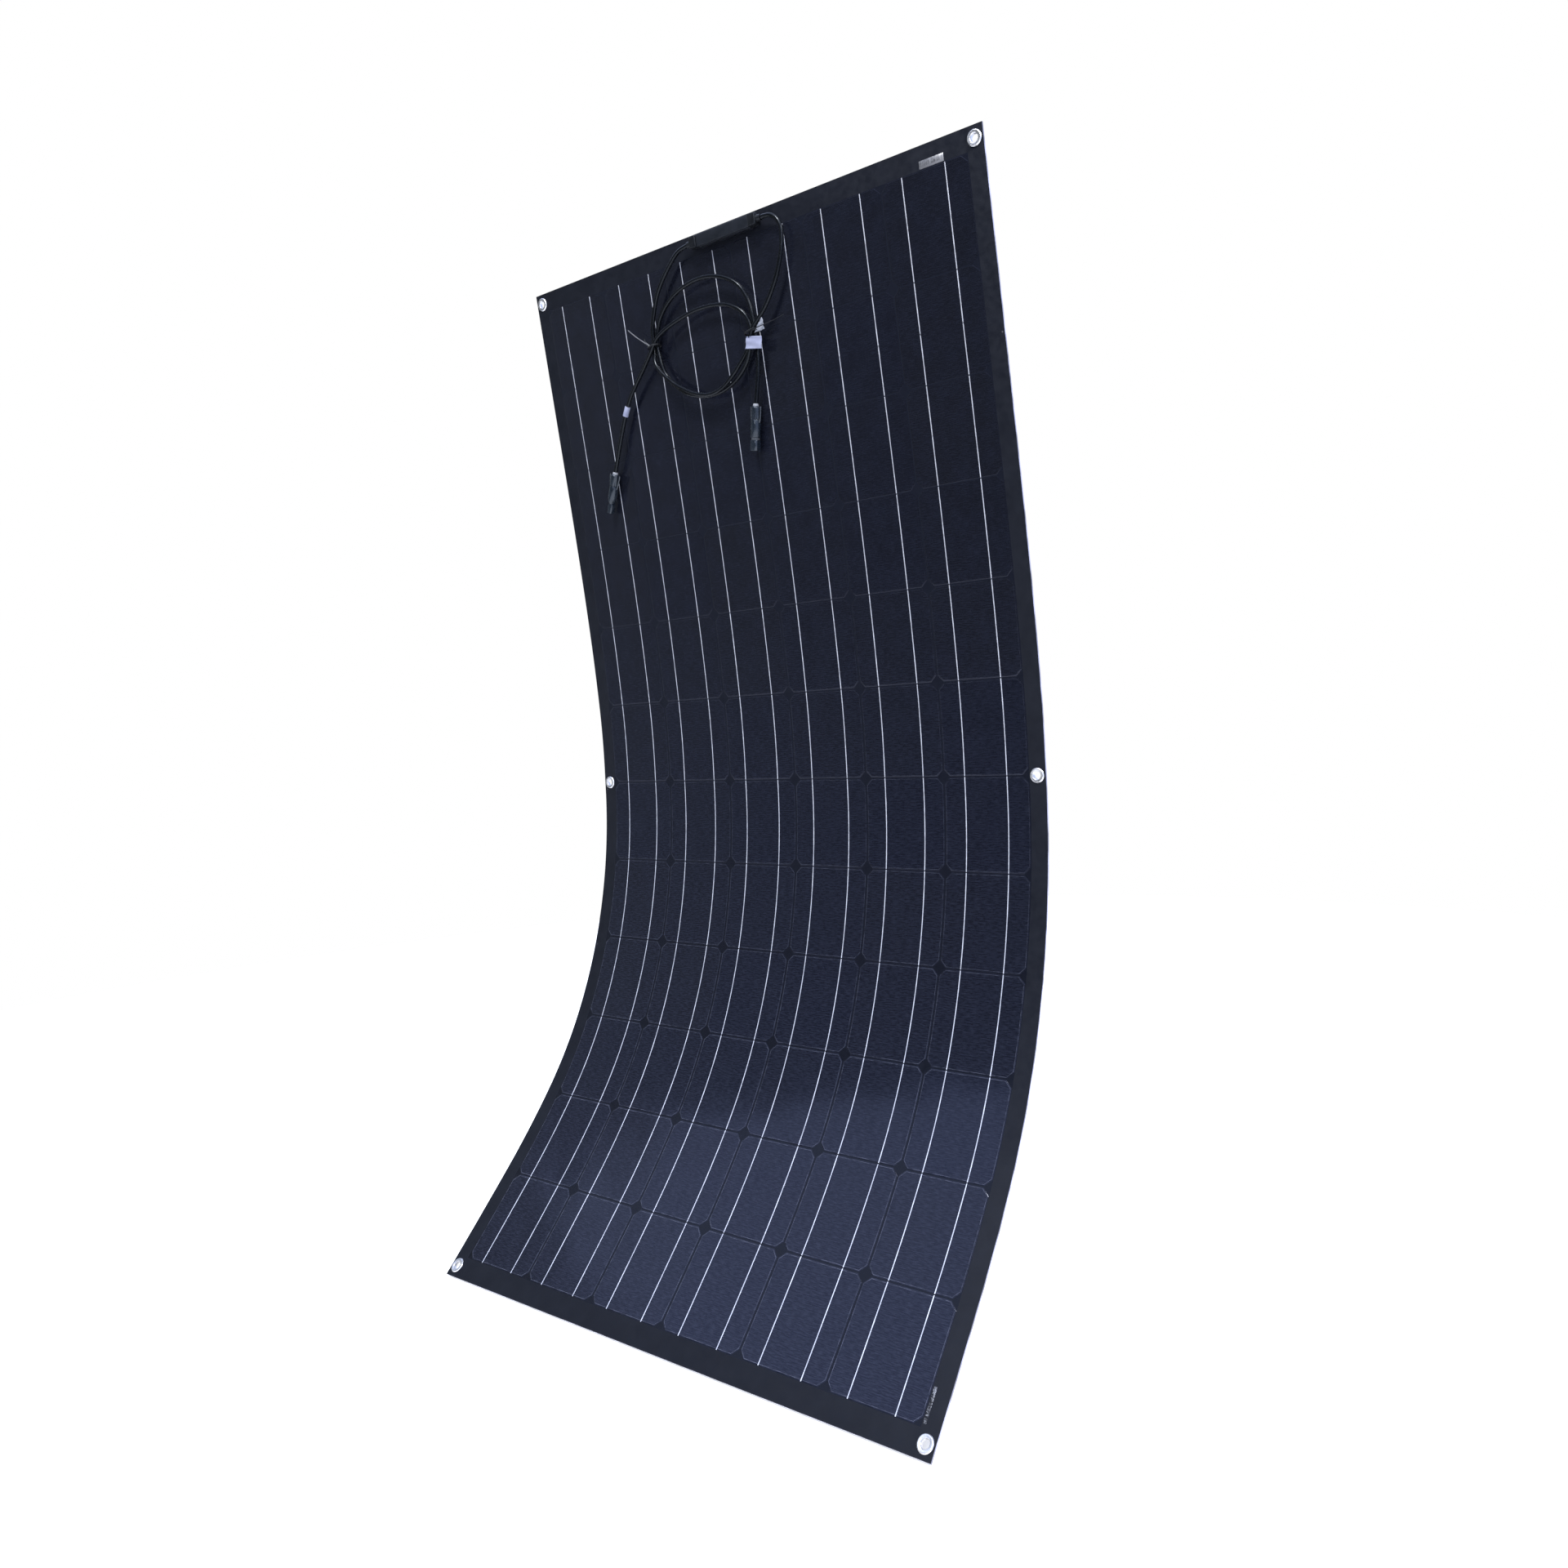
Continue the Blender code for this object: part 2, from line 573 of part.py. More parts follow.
def add_connector(hand, route_end, direction, has_socket, pivot):
    """Build a connector: the nut on the cable and the body beyond it."""
    length = math.hypot(*direction)
    step = (direction[0] / length, direction[1] / length)
    x, s, height = route_end

    def place(distance):
        return along((x + step[0] * distance, s + step[1] * distance, height), direction)

    nut_radius = CONNECTOR_RADIUS
    nut = [
        (0.0, 0.0), (CABLE_DIAMETER / 2 + 0.0012, 0.0), (nut_radius, 0.2 * CONNECTOR_NUT_LENGTH),
        (nut_radius, CONNECTOR_NUT_LENGTH), (0.0, CONNECTOR_NUT_LENGTH),
    ]
    add_turned(f"connector_nut_{hand}", nut, "box_plastic", pivot, place(TOUCH_GAP), steps=SMALL_ROUND_STEPS)
    end = CONNECTOR_BODY_LENGTH
    radius = CONNECTOR_RADIUS
    if has_socket:
        body = [(0.0, 0.0), (0.9 * radius, 0.0), (radius, 0.1 * end), (radius, end),
                (SOCKET_RADIUS, end), (SOCKET_RADIUS, end - SOCKET_DEPTH), (0.0, end - SOCKET_DEPTH)]
    else:
        body = [(0.0, 0.0), (0.9 * radius, 0.0), (radius, 0.1 * end), (radius, 0.52 * end),
                (0.72 * radius, 0.56 * end), (0.72 * radius, end), (0.0, end)]
    matrix = place(2 * TOUCH_GAP + CONNECTOR_NUT_LENGTH)
    add_turned(f"connector_body_{hand}", body, "box_plastic", pivot, matrix, steps=SMALL_ROUND_STEPS)


def add_ring(name, inner, outer, width, kind, pivot, matrix):
    outline = [(inner, width / 2), (outer, width / 2), (outer, -width / 2), (inner, -width / 2)]
    add_turned(name, outline, kind, pivot, matrix, SMALL_ROUND_STEPS)


def build_leads(pivot):
    add_cable("cable_left", smooth_route(LEFT_ROUTE, CABLE_POINTS), pivot)
    add_cable("cable_right", smooth_route(RIGHT_ROUTE, CABLE_POINTS), pivot)
    add_connector("left", LEFT_ROUTE[-1], LEFT_CONNECTOR_DIRECTION, False, pivot)
    add_connector("right", RIGHT_ROUTE[-1], RIGHT_CONNECTOR_DIRECTION, True, pivot)
    for hand, place in (("left", LEFT_TIE_AT), ("right", RIGHT_TIE_AT)):
        matrix = along(place, TIE_DIRECTION)
        add_ring(f"tie_{hand}", TIE_INNER_RADIUS, TIE_OUTER_RADIUS, TIE_WIDTH, "tie", pivot, matrix)
    matrix = along(SLEEVE_AT, SLEEVE_DIRECTION)
    add_ring("cable_sleeve", SLEEVE_INNER_RADIUS, SLEEVE_OUTER_RADIUS, SLEEVE_LENGTH, "label", pivot, matrix)
    x, s, height = TAG_AT
    matrix = sheet_matrix(x, s, FRONT_W + height) @ Matrix.Rotation(TAG_TURN, 4, "Z")
    add_object("cable_tag", block_mesh("cable_tag", TAG_SIZE), "label", pivot, matrix)


# ---------------------------------------------------------------- assembly

def build():
    segments = [(f"row_{row:02d}", row, row, gap_line(row)) for row in range(1, ROWS_ABOVE_MIDDLE)]
    segments.append(("middle", ROWS_ABOVE_MIDDLE, ROWS_ABOVE_MIDDLE + 1, 0.0))
    lower_rows = range(ROWS_ABOVE_MIDDLE + 2, ROWS + 1)
    segments += [(f"row_{row:02d}", row, row, gap_line(row - 1)) for row in lower_rows]
    pivots = {}
    for body, first_row, last_row, hinge_s in segments:
        pivots[body] = make_pivot(body, hinge_s)
        build_segment(body, first_row, last_row, pivots[body])
    carriers = {"top": "row_01", "middle": "middle", "bottom": "row_12"}
    for place, x, s in eyelet_places():
        build_eyelet(place, x, s, pivots[carriers[place.split("_")[0]]])
    build_junction_box(pivots["row_01"])
    build_leads(pivots["row_01"])


clear_scene()
part_collection = new_collection("solar_sheet")
cutter_collection = new_collection("cutters")
build()
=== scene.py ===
"""Looks of the bent solar sheet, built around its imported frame. Units are metres and +Z is up.

As in the frame, shapes are laid out on the flat sheet in the coordinates (x, s, w): x runs across
it, s runs up along it from the middle eyelets, and w is the height in front of its back face.
"""
import math

import bmesh
import bpy
import numpy as np
from mathutils import Matrix, Vector


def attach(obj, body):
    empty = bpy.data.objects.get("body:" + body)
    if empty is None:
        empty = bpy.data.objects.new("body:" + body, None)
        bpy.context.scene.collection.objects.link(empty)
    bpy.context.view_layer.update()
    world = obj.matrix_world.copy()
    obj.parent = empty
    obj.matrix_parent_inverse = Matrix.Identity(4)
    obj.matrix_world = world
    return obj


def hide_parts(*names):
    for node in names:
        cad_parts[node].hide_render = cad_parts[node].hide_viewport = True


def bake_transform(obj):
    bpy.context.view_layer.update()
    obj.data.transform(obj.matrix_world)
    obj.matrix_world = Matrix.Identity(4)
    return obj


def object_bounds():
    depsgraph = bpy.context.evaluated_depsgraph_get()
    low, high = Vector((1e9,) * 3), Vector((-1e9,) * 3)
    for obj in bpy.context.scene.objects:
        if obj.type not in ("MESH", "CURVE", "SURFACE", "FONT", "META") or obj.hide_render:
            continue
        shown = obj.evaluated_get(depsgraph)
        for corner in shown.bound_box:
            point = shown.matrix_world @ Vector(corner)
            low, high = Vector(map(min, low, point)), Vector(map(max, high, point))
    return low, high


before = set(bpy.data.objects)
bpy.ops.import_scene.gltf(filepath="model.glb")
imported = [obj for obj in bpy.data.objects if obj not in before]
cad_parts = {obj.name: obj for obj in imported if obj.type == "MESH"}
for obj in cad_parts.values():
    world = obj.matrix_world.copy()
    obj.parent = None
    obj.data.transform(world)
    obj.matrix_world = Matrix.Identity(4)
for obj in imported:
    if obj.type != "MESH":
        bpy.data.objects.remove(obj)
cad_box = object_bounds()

# The sheet's driving dimensions, as in the frame
SHEET_WIDTH = 0.808
SHEET_LENGTH = 1.580
ROWS = 12
COLUMNS = 6
CELL_PITCH = 0.127
CELL_SIZE = 0.125
CELL_CHAMFER = 0.0087
FRONT_W = 0.0028
MIDDLE_W = FRONT_W / 2
ROWS_ABOVE_MIDDLE = 6
ROW_TURNS = (0.0, 0.0, 0.5, 1.2, 2.0, 4.8, 7.8, 9.0, 10.0, 11.5, 6.0, 1.0)
MIDDLE_FLAT_HALF = 0.016
TOUCH_GAP = 0.0003

# The laminate's relief
MARGIN_W = 0.00255
CELL_TOP_W = 0.00262
CELL_UNDER_W = 0.0018
CELL_SKIRT = 0.0004
RIBBON_TOP_W = 0.00280
RIBBON_HALF = 0.00062
RIBBON_OFFSET = 0.03125
RIBBON_SHOULDER = 0.00012
RIBBON_INSET = -0.0004
RIBBON_CUT_INSET = -0.0015
RIBBON_DIP = 0.0003
CELL_FOOT_W = MARGIN_W - 0.0001
RIBBON_UNDER_W = MARGIN_W - 0.0002
OUTLINE_INSET = 0.0012
OUTLINE_WIDTH = 0.0004
CELL_INSETS = (0.0, OUTLINE_INSET, OUTLINE_INSET + OUTLINE_WIDTH)
ROW_STEP = 0.0053
TINY = 1e-6

# The laminate's looks
FINGER_PITCH = 0.0021
FINGER_SHARE = 0.15
# The span of s over which the painted sheen fades from the foot towards the top
SHEEN_FADE = (-0.70, 0.35)
STREAK_STRETCH = (110.0, 620.0, 0.0)
FILM_TINT = (0.76, 0.79, 1.0, 1.0)
MARGIN_TINT = (0.84, 0.89, 1.0, 1.0)
PLASTIC_TINT = (0.82, 0.90, 1.0, 1.0)
BAR_SCALE = 1700.0
BAR_SHARE = 0.45
BAR_FOOT = -0.0022
TICK_SCALES = (1400.0, 900.0)
TICK_SHARE = 0.48
WEAVE_SCALE = 2600.0

# Eyelets
EYELET_SIDE = SHEET_WIDTH / 2 - 0.012
EYELET_END = SHEET_LENGTH / 2 - 0.015
EYELET_HOLE = 0.0050
EYELET_BARREL = 0.0058
EYELET_FLANGE = 0.0097
EYELET_CROWN = 0.0014
EYELET_BACK = -0.0012
SHEET_HOLE = 0.0061
HOLE_STEPS = 40

# Junction box and glands
BOX_LENGTH = 0.096
BOX_WIDTH = 0.016
BOX_BASE_DEPTH = 0.0095
BOX_LID_DEPTH = 0.0040
BOX_S = 0.7755
GLAND_LENGTH = 0.0195
GLAND_HEIGHT = 0.0090
GLAND_BLOCK = (0.0125, 0.0155, 0.0125)

# Leads
CABLE_DIAMETER = 0.0060
ROUTE_STEPS = 6
NUT_LENGTH = 0.018
NUT_FLUTES = 6
NUT_FLUTE_DEPTH = 0.11
NUT_PLAIN_LENGTH = 0.003
BODY_LENGTH = 0.043
BARREL_END = 0.0245
NOSE_START = 0.0280
NOSE_CORNER = 0.86
NOSE_RADII = {"left": (0.0046, 0.0028), "right": (0.0062, 0.0046)}
SOCKET_DEPTH = 0.012
BAND_RADIUS = {"left": 0.0045, "right": 0.0057}
ARM_FLARE = {"left": 0.0018, "right": 0.0002}
ARM_RADIUS = 0.0011
LEFT_TIE_AT = (-0.1568, 0.6555, 0.0122)
RIGHT_TIE_AT = (0.0273, 0.6335, 0.0119)
TIE_DIRECTION = (0.12, -1.0)
TIE_TAILS = {"left": (-0.2012, 0.6887, 0.015), "right": (0.0872, 0.6428, 0.014)}
TIE_TURNS = 2
TIE_RADIUS = 0.0100
TIE_RISE = 0.0026
TIE_ROOT = 0.0104
TIE_TWIST_LENGTH = 0.010
TIE_TWIST_TURNS = 2.5
TIE_TWIST_RADIUS = 0.00075
SLEEVE_AT = (-0.2350, 0.5770, 0.0105)
SLEEVE_DIRECTION = (-0.54, -0.84)
SLEEVE_LENGTH = 0.015
SLEEVE_RADIUS = 0.0040
TAG_AT = (0.0324, 0.6180, 0.0187)
TAG_TURN = math.radians(-11)
TAG_SIZE = (0.0264, 0.0165)
TAG_FALLS = (0.0003, 0.0024)
PAPER_THICKNESS = 0.0003
TAG_FILM_CORNERS = ((0.0365, 0.6300, 0.0175), (0.0540, 0.6315, 0.0165), (0.0520, 0.6475, 0.0175))
LEFT_CONNECTOR_DIRECTION = (-0.380, -0.925)
RIGHT_CONNECTOR_DIRECTION = (-0.196, -0.981)

# Camera
CAMERA_PLACE = (1.0099, -1.2787, 0.0705)
CAMERA_LENS = 25.34
CAMERA_SENSOR = 36.0
CAMERA_SHIFT = (-0.0563, -0.0277)
CAMERA_TURNS = ((34.25, "Z"), (90 - 0.67, "X"), (-2.71, "Z"))

# Studio
FLOOR_RADIUS = 3.2
FLOOR_GAP = 0.002
FLOOR_GLOW = 0.42
ROOF_NORMAL = (0.51, 0.22, 0.83)
ROOF_EDGE = (0.020, 0.042)
ROOM_COLOR = (0.086, 0.091, 0.099)
WALL_COLOR = (0.34, 0.37, 0.38)
WALL_EDGE = (0.45, 0.80)
SKY_COLOR = (0.98, 1.14, 1.60)
# Each light's name, place, aim, size, power in watts and colour
LIGHTS = (
    ("key", (0.5, -1.9, 3.0), (0.0, 0.0, 0.0), (0.6, 0.6), 140, (1.0, 0.99, 0.97)),
    ("front_fill", (0.88, -2.42, 0.82), (0.06, 0.0, 0.65), (0.3, 0.5), 8, (0.94, 0.97, 1.0)),
    ("side_strip", (2.1, -0.9, 1.75), (0.1, -0.05, 0.65), (0.35, 0.7), 38, (1.0, 0.97, 0.93)),
)


def from_millimetres(*knots):
    return [tuple(number / 1000 for number in knot) for knot in knots]


# Routes of the leads over the flat sheet: x, s and the height in front of the front film
LEFT_ROUTE = from_millimetres(
    (-68.4, 775.5, 9), (-83.8, 772.8, 9.3), (-97.3, 765, 9.8), (-119.5, 745.5, 10.5), (-138, 724, 10.5),
    (-150, 701, 10), (-158, 680, 9), (-160.2, 661, 8.4), (-160.8, 648, 9.5), (-157, 629, 14),
    (-142, 611, 16.5), (-122, 593.5, 17.5), (-98, 578.5, 17.5), (-76, 569.5, 17.5), (-54, 566.5, 17.5),
    (-33, 571, 17.5), (-16, 582.5, 15.5), (-2.5, 596, 12), (9, 608, 9.5), (18, 619, 8.6),
    (23.2, 629, 8.4), (24, 640, 8.4), (21, 653, 8.6), (14, 664, 9), (3, 673, 9.5), (-15, 681.5, 10),
    (-40, 686, 10.5), (-68, 686.5, 11), (-93, 683, 11.8), (-116, 677.5, 13.2), (-135, 670.5, 15),
    (-147.5, 663.5, 15.9), (-155.5, 656, 16.1), (-163, 647.5, 15.6), (-173, 638.5, 14.4),
    (-188, 626, 12.5), (-207, 609.5, 11.5), (-223, 593, 11), (-235, 577, 10.5), (-247, 557, 10),
    (-258, 536, 10), (-270, 512, 10), (-280.5, 490, 10),
)
RIGHT_ROUTE = from_millimetres(
    (68.4, 775.5, 9), (74, 775.5, 9), (83.8, 773.7, 9.3), (92.4, 767.9, 9.7), (98, 759.3, 10.2),
    (99.8, 749, 10.7), (97.5, 730, 11.4), (89.5, 709, 12), (81, 692, 12.5), (69, 674, 13.2),
    (56, 658, 14.2), (43, 646.5, 15), (33.5, 639, 15.2), (27.5, 631, 15.2), (24.5, 621, 15.2),
    (20.5, 609, 14.5), (12.5, 596, 13.2), (-1, 584, 11.8), (-18, 574.5, 10.8), (-40, 568, 10.4),
    (-64, 566.5, 10.4), (-87, 570.5, 10.4), (-110, 579.5, 10.2), (-130, 595, 9.6), (-144, 612, 9),
    (-151, 629, 8.5), (-153.4, 646, 8.4), (-153.4, 660, 8.4), (-150, 675, 8.4), (-141.5, 690.5, 8.6),
    (-128, 704, 9), (-109, 715, 10), (-86, 722.5, 11), (-57, 726, 12), (-29, 723, 12.5),
    (-4, 714, 12.5), (14, 701, 12), (24.5, 685, 11), (29.5, 668, 10), (30.8, 651, 8.8),
    (30.6, 634, 8.4), (31.2, 617, 8.6), (30.2, 598, 9.1), (26.2, 576, 9.6), (20.5, 555, 10),
    (15, 536, 10),
)


# ---- the bend

def sheet_frame(s):
    """Give y, z and the lean of the sheet's middle layer at the distance s up from the middle."""
    upward = 1 if s >= 0 else -1
    turns = ROW_TURNS[ROWS_ABOVE_MIDDLE - 1::-1] if s >= 0 else ROW_TURNS[ROWS_ABOVE_MIDDLE:]
    stretches = [(0.0, MIDDLE_FLAT_HALF), (turns[0], CELL_PITCH - MIDDLE_FLAT_HALF)]
    stretches += [(turn, CELL_PITCH) for turn in turns[1:]]
    stretches.append((0.0, SHEET_LENGTH))
    y = 0.0
    z = 0.0
    lean = 0.0
    left = abs(s)
    for turn, length in stretches:
        step = min(left, length)
        half = -upward * math.radians(turn) * step / length / 2
        chord = upward * step * (math.sin(half) / half if half else 1.0)
        y += chord * math.sin(lean + half)
        z += chord * math.cos(lean + half)
        lean += 2 * half
        left -= step
    return y - MIDDLE_W, z, lean


def sheet_point(x, s, w):
    """Place the flat sheet's point (x, s, w) in space."""
    y, z, lean = sheet_frame(s)
    height = w - MIDDLE_W
    return Vector((x, y - height * math.cos(lean), z + height * math.sin(lean)))


def sheet_matrix(x, s, w):
    """Give the place and turn of a piece whose local axes are x, s and w on the flat sheet."""
    lean = sheet_frame(s)[2]
    return Matrix.Translation(sheet_point(x, s, w)) @ Matrix.Rotation(math.pi / 2 - lean, 4, "X")


def along(place, direction, distance=0.0):
    """Give a matrix whose local Z points along a flat direction, from a place above the front."""
    x, s, height = place
    length = math.hypot(*direction)
    x += direction[0] / length * distance
    s += direction[1] / length * distance
    angle = math.atan2(direction[1], direction[0])
    flat = sheet_matrix(x, s, FRONT_W + height)
    return flat @ Matrix.Rotation(angle, 4, "Z") @ Matrix.Rotation(math.pi / 2, 4, "Y")


def row_centre(row):
    return (ROWS_ABOVE_MIDDLE - row + 0.5) * CELL_PITCH


# ---- materials

def add_node(tree, kind, inputs=None, **settings):
    """Add a shader node. An input given a socket is linked to it, and any other is set."""
    node = tree.nodes.new("ShaderNode" + kind)
    for key, value in settings.items():
        setattr(node, key, value)
    for key, value in (inputs or {}).items():
        if isinstance(value, bpy.types.NodeSocket):
            tree.links.new(value, node.inputs[key])
        else:
            node.inputs[key].default_value = value
    return node


def calc(tree, operation, a, b=0.0, c=0.0):
    """Add a Math node and give its output."""
    return add_node(tree, "Math", {0: a, 1: b, 2: c}, operation=operation).outputs[0]


def times(tree, a, b):
    return calc(tree, "MULTIPLY", a, b)


def split(tree, vector):
    """Give a vector's three parts."""
    return add_node(tree, "SeparateXYZ", {0: vector}).outputs


def ramp(tree, value, low, high, to_low=0.0, to_high=1.0):
    """Map a value from the range low to high onto another range, without going past its ends."""
    inputs = {"Value": value, "From Min": low, "From Max": high, "To Min": to_low, "To Max": to_high}
    return add_node(tree, "MapRange", inputs).outputs[0]


def mix(tree, factor, first, second):
    """Mix two colours, given as sockets or as linear RGB."""
    first, second = ((*c, 1.0) if isinstance(c, tuple) else c for c in (first, second))
    node = add_node(tree, "Mix", {"Factor": factor, 6: first, 7: second}, data_type="RGBA")
    return node.outputs[2]


def new_material(name, roughness=0.5, metallic=0.0, gloss=0.5, tint=(1.0, 1.0, 1.0, 1.0)):
    """Make a material, and give it with its node tree and its shader."""
    material = bpy.data.materials.new(name)
    material.use_nodes = True
    tree = material.node_tree
    shader = tree.nodes["Principled BSDF"]
    shader.inputs["Roughness"].default_value = roughness
    shader.inputs["Metallic"].default_value = metallic
    shader.inputs["Specular IOR Level"].default_value = gloss
    shader.inputs["Specular Tint"].default_value = tint
    return material, tree, shader


def link(socket, shader, name):
    shader.id_data.links.new(socket, shader.inputs[name])


def noise(tree, coordinates, scale, detail, roughness=0.5):
    inputs = {"Vector": coordinates, "Scale": scale, "Detail": detail, "Roughness": roughness}
    return add_node(tree, "TexNoise", inputs).outputs["Fac"]


def object_place(tree):
    return add_node(tree, "TexCoord").outputs["Object"]


def flat_place(tree):
    """Give the flat sheet's coordinates, which laminate meshes store, and their x and s apart."""
    place = add_node(tree, "Attribute", attribute_name="flat").outputs["Vector"]
    x, s, _ = split(tree, place)
    return place, x, s


def wander(tree, place, scale, detail, low=0.0, high=1.0):
    """Give a value that wanders between low and high over the surface."""
    return ramp(tree, noise(tree, place, scale, detail), 0.3, 0.7, low, high)


def fade(tree, s, least=0.0):
    """Give 1 near the sheet's foot, and less towards its top: painted sheen, which stands in for the
    sky's reflection on the sheet's lower, upward-facing part.
    """
    return ramp(tree, s, *SHEEN_FADE, 1.0, least)


def random_of(tree, a, b):
    """Give a random value for each pair of whole numbers."""
    pair = add_node(tree, "CombineXYZ", {0: a, 1: b}).outputs[0]
    return add_node(tree, "TexWhiteNoise", {"Vector": pair}, noise_dimensions="3D").outputs["Value"]


def whole(tree, value, scale):
    return calc(tree, "FLOOR", times(tree, value, scale))


def bump(tree, shader, height, distance):
    node = add_node(tree, "Bump", {"Height": height, "Distance": distance, "Strength": 1.0})
    link(node.outputs[0], shader, "Normal")


def dust(tree, place, cells, share, radius):
    """Give sparse round specks of up to the radius, on the given share of a grid of cells."""
    voronoi = add_node(tree, "TexVoronoi", {"Vector": place, "Scale": cells, "Randomness": 1.0})
    random = add_node(tree, "SeparateColor", {0: voronoi.outputs["Color"]})
    chosen = calc(tree, "LESS_THAN", random.outputs[0], share)
    size = ramp(tree, random.outputs[1], 0.0, 1.0, 0.35 * radius * cells, radius * cells)
    near = calc(tree, "SUBTRACT", 1.0, calc(tree, "DIVIDE", voronoi.outputs["Distance"], size))
    return times(tree, chosen, calc(tree, "MAXIMUM", near, 0.0))


def laminate_relief(tree, shader, place, grain):
    """Wave the laminate gently over its length, with a fine embossed grain."""
    waves = noise(tree, place, 9.0, 1.0)
    dimples = noise(tree, place, 900.0, 2.0)
    height = calc(tree, "MULTIPLY_ADD", dimples, grain, waves)
    bump(tree, shader, height, 0.0012)


def cell_material():
    """Near-black blue silicon under film, with fine fingers across it, a tint for each cell, and
    painted sheen that makes it bluer and brighter towards the foot.
    """
    material, tree, shader = new_material("silicon_cell", gloss=0.30, tint=FILM_TINT)
    place, x, s = flat_place(tree)
    random = random_of(tree, whole(tree, x, 1 / CELL_PITCH), whole(tree, s, 1 / CELL_PITCH))
    # The lower colours are painted sheen, for the sky's reflection on the sheet's upward-facing foot
    upper = mix(tree, random, (0.0034, 0.0040, 0.0070), (0.0040, 0.0045, 0.0068))
    lower = mix(tree, random, (0.0034, 0.0046, 0.0105), (0.0042, 0.0052, 0.0100))
    silicon = mix(tree, ramp(tree, s, *SHEEN_FADE), lower, upper)
    cloud = ramp(tree, noise(tree, place, 35.0, 3.0), 0.35, 0.75, 0.0, 0.4)
    silicon = mix(tree, cloud, silicon, (0.0062, 0.0076, 0.0140))
    share = calc(tree, "FRACT", calc(tree, "DIVIDE", s, FINGER_PITCH))
    finger = calc(tree, "LESS_THAN", share, FINGER_SHARE)
    stretched = add_node(tree, "VectorMath", {0: place, 1: STREAK_STRETCH}, operation="MULTIPLY")
    streak = ramp(tree, noise(tree, stretched.outputs[0], 1.0, 3.0, 0.65), 0.42, 0.68)
    shown = calc(tree, "MULTIPLY_ADD", finger, 0.30, times(tree, streak, 0.62))
    # The fingers and streaks show less towards the top because of the painted sheen
    shown = times(tree, shown, fade(tree, s, 0.25))
    silicon = mix(tree, shown, silicon, (0.0200, 0.0230, 0.0380))
    silicon = mix(tree, dust(tree, place, 14.0, 0.04, 0.0030), silicon, (0.12, 0.12, 0.13))
    link(silicon, shader, "Base Color")
    link(wander(tree, place, 22.0, 3.0, 0.10, 0.16), shader, "Roughness")
    laminate_relief(tree, shader, place, 0.010)
    return material


def margin_material():
    """Black textured film over the backsheet, which is smoother between the cells, with painted shade
    there.
    """
    material, tree, shader = new_material("laminate_front", gloss=0.20, tint=MARGIN_TINT)
    place, x, s = flat_place(tree)
    beside = calc(tree, "LESS_THAN", calc(tree, "ABSOLUTE", x), CELL_PITCH * COLUMNS / 2)
    within = calc(tree, "LESS_THAN", calc(tree, "ABSOLUTE", s), CELL_PITCH * ROWS / 2)
    gap = times(tree, beside, within)
    tone = ramp(tree, noise(tree, place, 40.0, 4.0), 0.35, 0.7)
    color = mix(tree, tone, (0.0024, 0.0030, 0.0056), (0.0040, 0.0048, 0.0080))
    # Between the cells the film gets a colour of its own: painted shade for the grooves there, darker
    # towards the foot, where the painted sheen brightens the cells
    gap_shade = mix(tree, fade(tree, s), (0.0054, 0.0064, 0.0108), (0.0034, 0.0041, 0.0072))
    color = mix(tree, gap, color, gap_shade)
    color = mix(tree, dust(tree, place, 40.0, 0.05, 0.0015), color, (0.10, 0.10, 0.11))
    link(color, shader, "Base Color")
    rough = wander(tree, place, 120.0, 3.0, 0.42, 0.58)
    link(calc(tree, "MULTIPLY_ADD", gap, -0.32, rough), shader, "Roughness")
    laminate_relief(tree, shader, place, 0.03)
    return material


def back_material():
    """The plain black back, with the weave of its glass cloth."""
    material, tree, shader = new_material("laminate_back", gloss=0.35)
    place, x, s = flat_place(tree)
    across = calc(tree, "SINE", times(tree, x, WEAVE_SCALE))
    up = calc(tree, "SINE", times(tree, s, WEAVE_SCALE))
    weave = times(tree, across, up)
    tone = wander(tree, place, 14.0, 4.0)
    link(mix(tree, tone, (0.010, 0.0105, 0.012), (0.016, 0.0165, 0.018)), shader, "Base Color")
    link(wander(tree, place, 60.0, 3.0, 0.45, 0.62), shader, "Roughness")
    height = calc(tree, "MULTIPLY_ADD", weave, 0.02, noise(tree, place, 9.0, 1.0))
    bump(tree, shader, height, 0.0022)
    return material


def edge_material():
    """The cut edge, whose colour wanders between dark and pale lavender along it."""
    material, tree, shader = new_material("laminate_edge", 0.45)
    place = flat_place(tree)[0]
    tone = ramp(tree, noise(tree, place, 30.0, 4.0), 0.35, 0.65)
    link(mix(tree, tone, (0.10, 0.10, 0.14), (0.42, 0.42, 0.55)), shader, "Base Color")
    bump(tree, shader, noise(tree, place, 500.0, 3.0), 0.0003)
    return material


def ribbon_material():
    """Tinned copper ribbon under film, with painted sheen that makes it brighter towards the foot and
    duller towards the top.
    """
    material, tree, shader = new_material("tinned_ribbon", metallic=0.35)
    place, _, s = flat_place(tree)
    tone = wander(tree, place, 70.0, 3.0)
    upper = mix(tree, tone, (0.31, 0.32, 0.36), (0.50, 0.515, 0.57))
    lower = mix(tree, tone, (0.40, 0.42, 0.49), (0.64, 0.67, 0.76))
    # The lower colours near the foot are painted sheen
    link(mix(tree, fade(tree, s), upper, lower), shader, "Base Color")
    link(wander(tree, place, 260.0, 2.0, 0.30, 0.48), shader, "Roughness")
    return material


